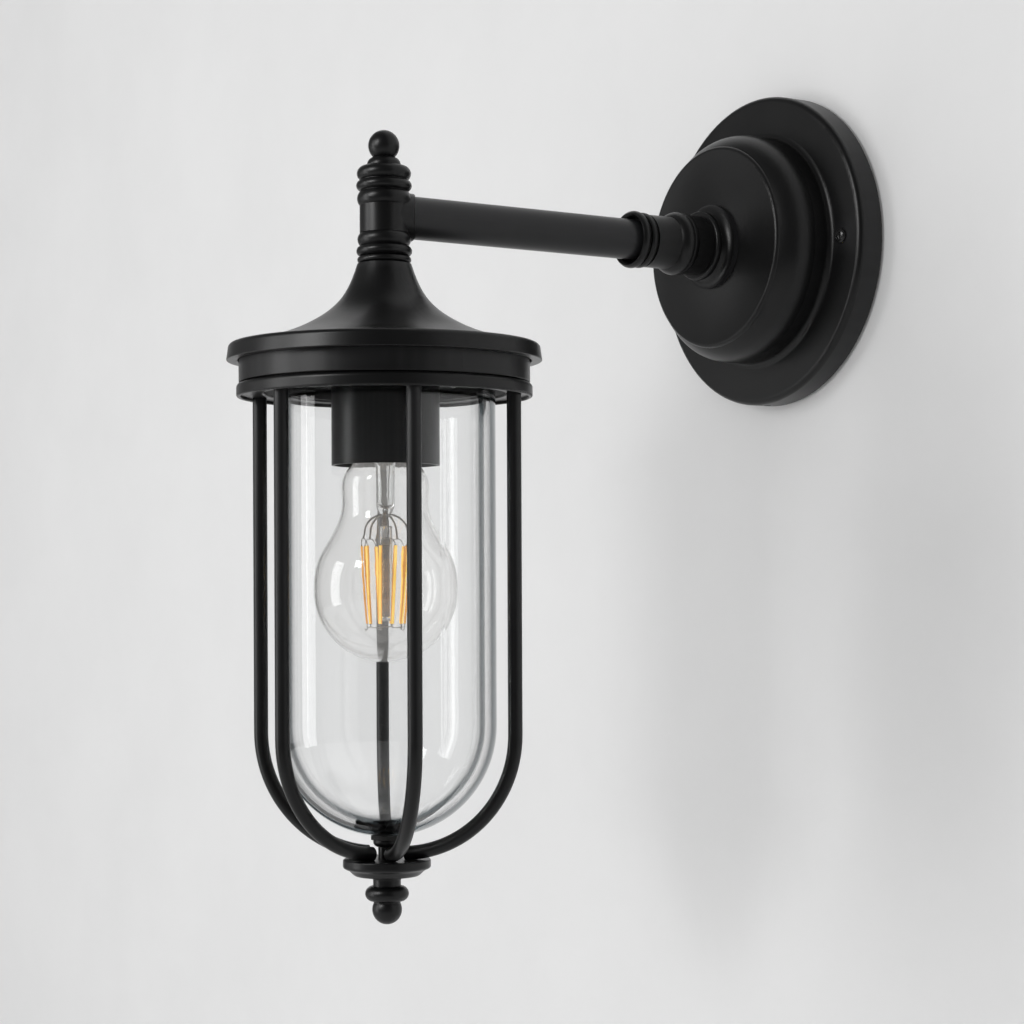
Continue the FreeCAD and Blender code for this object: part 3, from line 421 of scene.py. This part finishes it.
def makeCanopyScrews(sizes, shank):
    body = bmesh.new()
    radius = sizes["headRadius"]
    bevel = sizes["headBevel"]
    foot = sizes["headFoot"]
    top = foot + sizes["headHeight"]
    edge = foot + sizes["edgeHeight"]
    profile = [(radius - bevel, foot), (radius, foot + bevel), (radius, edge)]
    for share in sizes["domeShares"]:
        profile.append((radius * share, edge + math.sqrt(1 - share ** 2) * (top - edge)))
    head = profileRings(profile, sizes["steps"])
    for wider, deep in sizes["recess"]:
        head.append(lobeRing(sizes["lobeRadius"] + wider, sizes, top - deep))
    for place in sizes["places"]:
        turn = Matrix.Translation((place, 0, 0)) @ wallTurn
        skinRings(body, threadRings(shank, shank["foot"], shank["top"]), turn, closedEnds=True)
        skinRings(body, head, turn, closedEnds=True)
    piece = pieceFrom("canopyScrewPair", body, ["screwBlack"])
    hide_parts("canopy_screws")
    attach(piece, "fixture")


makeCanopyScrews(canopyScrew, canopyShank)
print("canopy screws made")


# threaded tubes that clamp the arm and the lantern

clampTubes = {
    "arm_nipple": {"foot": 30.6, "top": 50.1, "lantern": False},
    "lamp_nipple": {"foot": -65.05, "top": -12.5, "lantern": True},
}
clampThread = {"root": 4.45, "crest": 4.98, "bore": 3.5, "bevel": 0.2, "pitch": 1.0, "rowsPerTurn": 6,
               "steps": 28}


def makeClampTube(node, ends, thread):
    body = bmesh.new()
    foot, top = ends["foot"], ends["top"]
    bore, bevel = thread["bore"], thread["bevel"]
    inside = ((bore + bevel, top), (bore, top - bevel), (bore, foot + bevel), (bore + bevel, foot))
    rings = threadRings(thread, foot, top) + profileRings(inside, thread["steps"])
    skinRings(body, rings, None if ends["lantern"] else wallTurn, loop=True)
    piece = pieceFrom(node.replace("nipple", "threaded_tube"), body, ["zincSteel"])
    if ends["lantern"]:
        atLantern(piece)
    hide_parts(node)
    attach(piece, "fixture")


for node, ends in clampTubes.items():
    makeClampTube(node, ends, clampThread)
print("threaded tubes made")


# lampholder: rolled brass shell and a sprung centre contact

holderShell = {
    "foot": -97.5,
    "threadTop": -74.0,
    "root": 13.62,
    "crest": 14.22,
    "sheet": 0.36,
    "pitch": 3.62,
    # radius and height from the thread over the shoulder to the floor, and back inside
    "shoulder": ((13.92, -72.6), (13.62, -71.9), (12.92, -71.6), (7.0, -71.6),
                 (7.0, -71.96), (12.62, -71.96), (13.32, -72.3), (13.56, -72.9)),
    "rowsPerTurn": 10,
    "steps": 72,
}


def makeHolderShell(sizes):
    body = bmesh.new()
    outer = threadRings(sizes, sizes["foot"], sizes["threadTop"])
    inner = threadRings(sizes, sizes["foot"], sizes["threadTop"], sizes["sheet"])
    skinRings(body, outer + profileRings(sizes["shoulder"], sizes["steps"]) + inner[::-1], loop=True)
    piece = atLantern(pieceFrom("holderThreadShell", body, ["brass"]))
    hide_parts("holder_shell")
    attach(piece, "fixture")


holderContact = {
    "width": 3.4,
    "sheet": 0.35,
    "run": ((-3.4, -71.85), (-1.2, -71.85), (0.6, -71.95), (2.4, -72.35), (3.2, -72.2), (3.5, -71.9)),
    "rivetPlace": -2,
    "rivet": ((1.1, -72.22), (1.034, -72.34), (0.77, -72.45), (0.2, -72.48)),
    "rivetSteps": 20,
}


def makeHolderContact(sizes):
    body = bmesh.new()
    half = sizes["width"] / 2
    rings = []
    for along, height in sizes["run"]:
        under = height - sizes["sheet"]
        rings.append([(along, -half, height), (along, half, height), (along, half, under),
                      (along, -half, under)])
    skinRings(body, rings, closedEnds=True)
    rivet = profileRings(sizes["rivet"], sizes["rivetSteps"])
    skinRings(body, rivet, Matrix.Translation((sizes["rivetPlace"], 0, 0)), closedEnds=True)
    piece = atLantern(pieceFrom("holderSpringContact", body, ["brass"], smooth=False))
    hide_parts("holder_contact")
    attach(piece, "fixture")


makeHolderShell(holderShell)
makeHolderContact(holderContact)
print("lampholder shell and contact made")


# bulb cap: rolled thread, glass insulator cone and soldered tip

bulbCap = {
    "root": 12.2,
    "crest": 13.08,
    "sheet": 0.3,
    "pitch": 3.62,
    "threadFoot": -96.4,
    "threadTop": -79.2,
    # radius and height below the thread, above it and back inside
    "skirt": ((13.08, -99.6), (12.98, -99.1)),
    "shoulder": ((12.14, -78.7), (11.24, -78.6), (11.14, -78.9)),
    "skirtInside": ((12.78, -99.6),),
    "insulator": ((11.19, -79.0), (11.04, -78.5), (9.4, -77.0), (6.6, -75.4), (5.1, -74.3), (4.6, -74.1)),
    "tip": ((4.7, -74.4), (4.7, -73.75), (4.2, -73.35), (2.6, -73.15), (0.4, -73.05)),
    "rowsPerTurn": 10,
    "steps": 72,
    "tipSteps": 40,
}


def makeBulbCap(sizes):
    steps = sizes["steps"]
    outer = threadRings(sizes, sizes["threadFoot"], sizes["threadTop"])
    inner = threadRings(sizes, sizes["threadFoot"], sizes["threadTop"], sizes["sheet"])
    rings = profileRings(sizes["skirt"], steps) + outer + profileRings(sizes["shoulder"], steps)
    rings += inner[::-1] + profileRings(sizes["skirtInside"], steps)
    body = bmesh.new()
    skinRings(body, rings, loop=True)
    cap = atLantern(pieceFrom("bulbThreadCap", body, ["nickel"]))
    insulator = turnedPiece("bulbInsulator", [sizes["insulator"]], steps, "capGlass")
    solder = turnedPiece("bulbTip", [sizes["tip"]], sizes["tipSteps"], "nickel")
    for piece in (cap, insulator, solder):
        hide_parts("bulb_base")
        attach(piece, "bulb")


makeBulbCap(bulbCap)
print("bulb cap made")


# glass inside the bulb: the stem with its flared skirt and pinched end, the post below it, and a brown rod
# in the post as painted reflection of the filaments and painted shade

bulbStem = {
    # half width, half depth and height of the outside, from the skirt down
    "outside": ((10.9, 10.9, -98.1), (10.3, 10.3, -98.9), (8.2, 8.2, -99.9), (5.9, 5.9, -101.2),
                (4.6, 4.6, -102.8), (4.05, 4.05, -105), (3.95, 3.95, -110), (3.9, 3.85, -121.6),
                (3.6, 3.2, -123.4), (2.7, 2.2, -124.7), (1.7, 1.4, -125.7), (1.2, 1.0, -126.6)),
    # radius and height of the bore, from its closed foot up
    "bore": ((0.4, -122.2), (1.6, -121.9), (2.7, -121), (3.25, -119.6), (3.4, -108.5), (3.5, -105.2),
             (4.0, -103), (5.3, -101.4), (7.6, -100.1), (9.8, -99.1), (10.4, -98.3)),
    "pinchTurn": -36,
    # the hollow post from its foot up and back down inside, and the core in its upper end
    "post": ((2.3, -168.9), (2.8, -168.2), (2.8, -130.6), (2.92, -129.9), (2.6, -129.4),
             (2.25, -129.8), (2.25, -167.7), (1.75, -168.1)),
    "postCore": ((1.35, -134.7), (1.35, -129.3)),
    "plug": ((2.1, -137.3), (2.1, -135.3), (1.6, -134.9)),
    # a brown rod inside the post: painted reflection of the filaments and painted shade
    "rod": ((1.3, -167.2), (1.7, -166.8), (1.7, -137.6)),
    "steps": 48,
    "innerSteps": 32,
}


def makeBulbStem(sizes):
    steps = sizes["steps"]
    turn = math.radians(sizes["pinchTurn"])
    glass = bmesh.new()
    outside = profileRings(sizes["outside"], steps, turn)
    bore = profileRings(sizes["bore"], steps, turn)
    skinRings(glass, outside[::-1] + bore[::-1], closedEnds=True)
    stem = atLantern(pieceFrom("bulbGlassStem", glass, ["stemGlass"]))
    post = turnedPiece("bulbGlassPost", [sizes["post"], sizes["postCore"]], steps, "postGlass")
    plug = turnedPiece("bulbStemPlug", [sizes["plug"]], sizes["innerSteps"], "wire")
    rod = turnedPiece("bulbPostPaintedReflectionRod", [sizes["rod"]], sizes["innerSteps"], "postPaintedReflection")
    for piece in (stem, post, plug, rod):
        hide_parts("bulb_stem")
        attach(piece, "bulb")


makeBulbStem(bulbStem)
print("bulb stem made")


# filament strips: faces and darker edges with a painted glow, and bright metal ends

filamentStrip = {
    "count": 10,
    "firstAngle": -78.75,
    "topCircle": 10.0,
    "footCircle": 7.8,
    "top": -137.4,
    "foot": -170.3,
    "footTurn": -5,
    "width": 1.5,
    "depth": 0.85,
    "faceShare": 0.72,   # of the width that is flat
    "edgeShare": 0.4,    # of the depth that is flat
    "endLength": 0.4,
    "endSlim": 0.6,
    "bow": 0.25,
    "rows": 10,
}


def stripPoint(sizes, index, share):
    pitch = 360 / sizes["count"]
    angle = math.radians(sizes["firstAngle"] + pitch * index + sizes["footTurn"] * share)
    bow = sizes["bow"] * math.sin(math.pi * share)
    radius = sizes["topCircle"] + (sizes["footCircle"] - sizes["topCircle"]) * share + bow
    height = sizes["top"] + (sizes["foot"] - sizes["top"]) * share
    return Vector((radius * math.cos(angle), radius * math.sin(angle), height)), angle


def makeFilaments(sizes):
    body = bmesh.new()
    end = sizes["endLength"] / (sizes["top"] - sizes["foot"])
    slim = sizes["endSlim"]
    stations = [(0, slim), (end, slim), (end, 1)]
    for row in range(1, sizes["rows"]):
        stations.append((end + (1 - 2 * end) * row / sizes["rows"], 1))
    stations += [(1 - end, 1), (1 - end, slim), (1, slim)]
    half = sizes["width"] / 2
    deep = sizes["depth"] / 2
    face = half * sizes["faceShare"]
    edge = deep * sizes["edgeShare"]
    outline = [(-half, -edge), (-face, -deep), (face, -deep), (half, -edge),
               (half, edge), (face, deep), (-face, deep), (-half, edge)]
    coats = ["filamentPaintedGlow", "filamentEdgePaintedGlow", "nickel"]
    faceSides = (1, 5)   # the outline's two long sides
    lastRow = len(stations) - 2
    for index in range(sizes["count"]):
        rings = []
        for share, scale in stations:
            centre, angle = stripPoint(sizes, index, share)
            ring = []
            for across, out in outline:
                ring.append((centre.x - across * scale * math.sin(angle) + out * scale * math.cos(angle),
                             centre.y + across * scale * math.cos(angle) + out * scale * math.sin(angle),
                             centre.z))
            rings.append(ring)
        before = len(body.faces)
        skinRings(body, rings, closedEnds=True)
        body.faces.ensure_lookup_table()
        for number in range(before, len(body.faces)):
            row, side = divmod(number - before, len(outline))
            if row == 0 or row >= lastRow:
                coat = "nickel"
            else:
                coat = "filamentPaintedGlow" if side in faceSides else "filamentEdgePaintedGlow"
            body.faces[number].material_index = coats.index(coat)
    piece =atLantern(pieceFrom("bulbFilamentStrips", body, coats, smooth=False))
    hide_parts("bulb_filaments")
    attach(piece, "bulb")


makeFilaments(filamentStrip)
print("filaments made")


# wires: leads in the stem, bent carriers to arches over the filaments, links and hooks at their feet

bulbWire = {
    "thick": 0.42,
    "thin": 0.17,
    "lead": 0.2,
    "pinch": (1.2, -124.6),
    "carrier": ((3.8, -125.1), (6.8, -126.9), (8.9, -129.7), (9.6, -133.0)),
    # each carrier is bent a little differently: how far to the side, and how far down with it
    "wobble": 0.16,
    "wobbleStep": 2.1,
    "wobbleStart": 0.6,
    "wobbleDrop": 0.4,
    "carrierEnd": -134.75,
    "archTop": -134.9,
    "archShoulder": -136.5,
    "archTurn": 0.04,     # radians from the strip to the arch's shoulder
    "archSpread": 0.28,   # of the strips' pitch, from the strip to the arch's top
    "archOut": 0.1,
    "stripOverlap": 0.4,
    "linkDrop": 0.8,
    "linkSag": 1.15,
    "hookDrop": 1.8,
    "hook": ((0.52, 0.05, 2.275), (1.04, 0.1, 1.3)),  # out, radians round, down from the strip's foot
    "leadPath": ((1.2, 1.5, -99.5), (1.5, 1.2, -104), (0.7, 1.5, -108.5), (1.1, 0.8, -113),
                 (0.8, 0.9, -117.5), (0.5, 0.4, -121.5), (0.5, 0, -125.4)),
    "splice": ((2.7, 1.5, -129.2), (2.6, 1.5, -128.5), (1.9, 1.35, -127.4), (1.4, 1.2, -126.2),
               (0.8, 0.8, -124.6), (0.4, 0.4, -122.8)),
    "spliceTurn": -30,
    "spliceSteps": 24,
    "curveSteps": 8,
    "roundSteps": 3,
}


def addSpline(data, points, radius):
    spline = data.splines.new("BEZIER")
    spline.bezier_points.add(len(points) - 1)
    for knot, point in zip(spline.bezier_points, points):
        knot.co = Vector(point) * mm
        knot.handle_left_type = knot.handle_right_type = "AUTO"
        knot.radius = radius


def around(radius, angle, height):
    return Vector((radius * math.cos(angle), radius * math.sin(angle), height))


def carrierPath(sizes, strips, pair, middle):
    circle = strips["topCircle"]
    wobble = sizes["wobble"] * math.sin(sizes["wobbleStep"] * pair + sizes["wobbleStart"])
    path = [around(sizes["pinch"][0], middle + wobble, sizes["pinch"][1])]
    for radius, height in sizes["carrier"]:
        path.append(around(radius, middle + wobble * (1 - radius / circle),
                           height - sizes["wobbleDrop"] * wobble))
    path.append(around(circle, middle, sizes["carrierEnd"]))
    return path


# from the top of one strip over to the top of the next
def archPath(sizes, strips, pair, pitch):
    circle = strips["topCircle"]
    first, angleOne = stripPoint(strips, 2 * pair - 1, 0)
    second, angleTwo = stripPoint(strips, 2 * pair, 0)
    overlap = Vector((0, 0, sizes["stripOverlap"]))
    spread = pitch * sizes["archSpread"]
    return [first - overlap,
            around(circle, angleOne + sizes["archTurn"], sizes["archShoulder"]),
            around(circle + sizes["archOut"], angleOne + spread, sizes["archTop"]),
            around(circle + sizes["archOut"], angleTwo - spread, sizes["archTop"]),
            around(circle, angleTwo - sizes["archTurn"], sizes["archShoulder"]),
            second - overlap]


# the link under two strips' feet, and the hook at its end
def footPaths(sizes, strips, pair):
    first, _ = stripPoint(strips, 2 * pair, 1)
    second, turn = stripPoint(strips, 2 * pair + 1, 1)
    drop = Vector((0, 0, sizes["linkDrop"]))
    sag = Vector((0, 0, sizes["linkSag"]))
    link = [first, first - drop, (first * 2 + second) / 3 - sag, (first + second * 2) / 3 - sag,
            second - drop, second]
    hook = [second - drop, second - Vector((0, 0, sizes["hookDrop"]))]
    for out, onward, down in sizes["hook"]:
        hook.append(around(strips["footCircle"] + out, turn + onward, strips["foot"] - down))
    return link, hook


def makeBulbWires(sizes, strips):
    data = bpy.data.curves.new("bulbWires", "CURVE")
    data.dimensions = "3D"
    data.bevel_depth = 1 * mm
    data.bevel_resolution = sizes["roundSteps"]
    data.resolution_u = sizes["curveSteps"]
    data.use_fill_caps = True
    pitch = math.radians(360 / strips["count"])
    for pair in range(strips["count"] // 2):
        middle = math.radians(strips["firstAngle"]) + pitch * (2 * pair - 0.5)
        addSpline(data, carrierPath(sizes, strips, pair, middle), sizes["thick"])
        addSpline(data, archPath(sizes, strips, pair, pitch), sizes["thin"])
        for path in footPaths(sizes, strips, pair):
            addSpline(data, path, sizes["thin"])
    for side in (-1, 1):
        lead = [(side * across, side * along, height) for across, along, height in sizes["leadPath"]]
        addSpline(data, lead, sizes["lead"])
    data.materials.append(finishes["wire"])
    piece = bpy.data.objects.new("bulbWires", data)
    bpy.context.collection.objects.link(piece)
    atLantern(piece)

    cone = bmesh.new()
    rings = profileRings(sizes["splice"], sizes["spliceSteps"], math.radians(sizes["spliceTurn"]))
    skinRings(cone, rings, closedEnds=True)
    splice = atLantern(pieceFrom("bulbSplice", cone, ["spliceBrown"]))
    for part in (piece, splice):
        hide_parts("bulb_support_wires")
        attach(part, "bulb")


makeBulbWires(bulbWire, filamentStrip)
print("bulb wires made")


# wall and floor

stageLook = {
    "wall": (0.765, 0.765, 0.765),
    "wallShade": (0.735, 0.735, 0.735),
    "wallRough": 0.95,
    "wallGloss": 0.2,
    "patch": {"scale": 9, "detail": 6, "roughness": 0.6},
    "grit": {"scale": 420, "detail": 3},
    "gritStrength": 0.15,
    "gritHeight": 0.0002,
    "floor": (0.74, 0.74, 0.74),
    "floorShade": 0.97,
    "floorRough": 0.9,
    "floorCloud": {"scale": 12, "detail": 5},
    "wallPlace": 0.0006,
    "floorHeight": -0.9,
    "reach": 4.0,
}


# the wall is seen through from behind
def plasterWall(look):
    material, tree, shader = newMaterial("plasterWall")
    patch = addNoise(tree, **look["patch"])
    grit = addNoise(tree, **look["grit"])
    tone = addMix(tree, addRange(tree, patch, 0, 1), look["wallShade"], look["wall"])
    tree.links.new(tone, shader.inputs["Base Color"])
    shader.inputs["Roughness"].default_value = look["wallRough"]
    shader.inputs["Specular IOR Level"].default_value = look["wallGloss"]
    addBump(tree, shader, grit, look["gritStrength"], look["gritHeight"])
    geometry = tree.nodes.new("ShaderNodeNewGeometry")
    clear = tree.nodes.new("ShaderNodeBsdfTransparent")
    side = tree.nodes.new("ShaderNodeMixShader")
    tree.links.new(geometry.outputs["Backfacing"], side.inputs["Fac"])
    tree.links.new(shader.outputs["BSDF"], side.inputs[1])
    tree.links.new(clear.outputs["BSDF"], side.inputs[2])
    tree.links.new(side.outputs["Shader"], tree.nodes["Material Output"].inputs["Surface"])
    return material


def paleFloor(look):
    material, tree, shader = newMaterial("paleFloor")
    cloud = addNoise(tree, **look["floorCloud"])
    low = tuple(part * look["floorShade"] for part in look["floor"])
    tone = addMix(tree, addRange(tree, cloud, 0, 1), low, look["floor"])
    tree.links.new(tone, shader.inputs["Base Color"])
    shader.inputs["Roughness"].default_value = look["floorRough"]
    return material


def makeSheet(name, corners, material):
    mesh = bpy.data.meshes.new(name)
    mesh.from_pydata(corners, [], [(0, 1, 2, 3)])
    mesh.materials.append(material)
    sheet = bpy.data.objects.new(name, mesh)
    bpy.context.collection.objects.link(sheet)
    return sheet


def makeStage(look):
    reach = look["reach"]
    back = look["wallPlace"]
    low = look["floorHeight"]
    square = ((-reach, -reach), (reach, -reach), (reach, reach), (-reach, reach))
    wall = makeSheet("wall", [(across, back, up) for across, up in square], plasterWall(look))
    wall.visible_diffuse = False
    wall.visible_shadow = False
    makeSheet("floor", [(across, out, low) for across, out in square], paleFloor(look))


makeStage(stageLook)


# the unlit side of the room, which only shows in gloss: the front half of a ball round the light,
# from straight above down to 40 degrees below the horizon

curtainLook = {
    "left": (0.2, 0.2, 0.2),
    "right": (0.08, 0.08, 0.08),
    "blend": (-0.8, 0.6),     # where left goes over into right, in shares of the reach
    "reach": 3.2,
    "heights": (-40, 90),     # degrees
    "turns": (-92, 92),
    "rows": 10,
    "steps": 24,
}


def curtainGlow(look):
    material, tree, _ = newMaterial("roomCurtain")
    split = tree.nodes.new("ShaderNodeSeparateXYZ")
    tree.links.new(objectCoordinates(tree), split.inputs["Vector"])
    left, right = (look["reach"] * share for share in look["blend"])
    across = addRange(tree, split.outputs["X"], 0, 1, left, right)
    glow = tree.nodes.new("ShaderNodeEmission")
    tree.links.new(addMix(tree, across, look["left"], look["right"]), glow.inputs["Color"])
    tree.links.new(glow.outputs["Emission"], tree.nodes["Material Output"].inputs["Surface"])
    return material


def makeCurtain(look):
    reach = look["reach"]
    lowest, highest = look["heights"]
    firstTurn, lastTurn = look["turns"]
    ball = bmesh.new()
    grid = []
    for row in range(look["rows"] + 1):
        climb = math.radians(lowest + (highest - lowest) * row / look["rows"])
        out = reach * math.cos(climb)
        height = reach * math.sin(climb)
        line = []
        for step in range(look["steps"] + 1):
            turn = math.radians(firstTurn + (lastTurn - firstTurn) * step / look["steps"])
            line.append(ball.verts.new((out * math.sin(turn), -out * math.cos(turn), height)))
        grid.append(line)
    for lower, upper in zip(grid, grid[1:]):
        for step in range(look["steps"]):
            ball.faces.new((lower[step], lower[step + 1], upper[step + 1], upper[step]))
    mesh = bpy.data.meshes.new("curtain")
    ball.to_mesh(mesh)
    ball.free()
    mesh.materials.append(curtainGlow(look))
    curtain = bpy.data.objects.new("curtain", mesh)
    bpy.context.collection.objects.link(curtain)
    curtain.visible_camera = False
    curtain.visible_diffuse = False
    curtain.visible_shadow = False


makeCurtain(curtainLook)


# the room's even light, and the plain background that camera, gloss and glass see in its place

worldLook = {"light": 0.68, "background": (0.73, 0.73, 0.73)}


def makeWorld(look):
    world = bpy.data.worlds.new("room")
    bpy.context.scene.world = world
    world.use_nodes = True
    tree = world.node_tree
    light = tree.nodes["Background"]
    light.inputs["Color"].default_value = (1, 1, 1, 1)
    light.inputs["Strength"].default_value = look["light"]
    shown = tree.nodes.new("ShaderNodeBackground")
    shown.inputs["Color"].default_value = (*look["background"], 1)
    path = tree.nodes.new("ShaderNodeLightPath")
    total = path.outputs["Is Camera Ray"]
    for output in ("Is Glossy Ray", "Is Transmission Ray"):
        add = tree.nodes.new("ShaderNodeMath")
        add.operation = "MAXIMUM"
        tree.links.new(total, add.inputs[0])
        tree.links.new(path.outputs[output], add.inputs[1])
        total = add.outputs["Value"]
    mix = tree.nodes.new("ShaderNodeMixShader")
    tree.links.new(total, mix.inputs["Fac"])
    tree.links.new(light.outputs["Background"], mix.inputs[1])
    tree.links.new(shown.outputs["Background"], mix.inputs[2])
    tree.links.new(mix.outputs["Shader"], tree.nodes["World Output"].inputs["Surface"])


makeWorld(worldLook)


# box lamps: azimuth and elevation in degrees from straight in front of the wall, sizes in metres.
# lights: falls on matt surfaces, shows: is mirrored in gloss, passes: is seen inside glass

lamps = {
    "leftBox": {"azimuth": -26.5, "elevation": 5, "distance": 1.5, "width": 0.5, "height": 1.25,
                "radiance": 3.8, "lights": True, "shows": True, "passes": True},
    "frontBox": {"azimuth": 13.5, "elevation": 8, "distance": 1.7, "width": 0.42, "height": 0.42,
                 "radiance": 11, "lights": True, "shows": False, "passes": False},
    "gleamBox": {"azimuth": 0, "elevation": 22, "distance": 1.7, "width": 0.6, "height": 0.74,
                 "radiance": 8, "lights": False, "shows": True, "passes": False},
    "spotBox": {"azimuth": 11, "elevation": 31, "distance": 1.7, "width": 0.34, "height": 0.36,
                "radiance": 9, "lights": False, "shows": True, "passes": True},
    "sideBox": {"azimuth": -52, "elevation": -2, "distance": 1.9, "width": 0.8, "height": 0.7,
                "radiance": 0.7, "lights": False, "shows": True, "passes": False},
}
lampTarget = Vector((0, -armReach, -0.15))


def makeLamp(name, lamp):
    data = bpy.data.lights.new(name, "AREA")
    data.shape = "RECTANGLE"
    data.size = lamp["width"]
    data.size_y = lamp["height"]
    data.energy = lamp["radiance"] * math.pi * lamp["width"] * lamp["height"]
    azimuth = math.radians(lamp["azimuth"])
    elevation = math.radians(lamp["elevation"])
    away = Vector((math.sin(azimuth) * math.cos(elevation), -math.cos(azimuth) * math.cos(elevation),
                   math.sin(elevation)))
    box = bpy.data.objects.new(name, data)
    box.location = lampTarget + away * lamp["distance"]
    box.rotation_euler = away.to_track_quat("Z", "Y").to_euler()
    box.visible_diffuse = lamp["lights"]
    box.visible_glossy = lamp["shows"]
    box.visible_transmission = lamp["passes"]
    bpy.context.collection.objects.link(box)


for name, lamp in lamps.items():
    makeLamp(name, lamp)
bpy.context.scene.view_settings.view_transform = "Standard"
print("stage and light set")
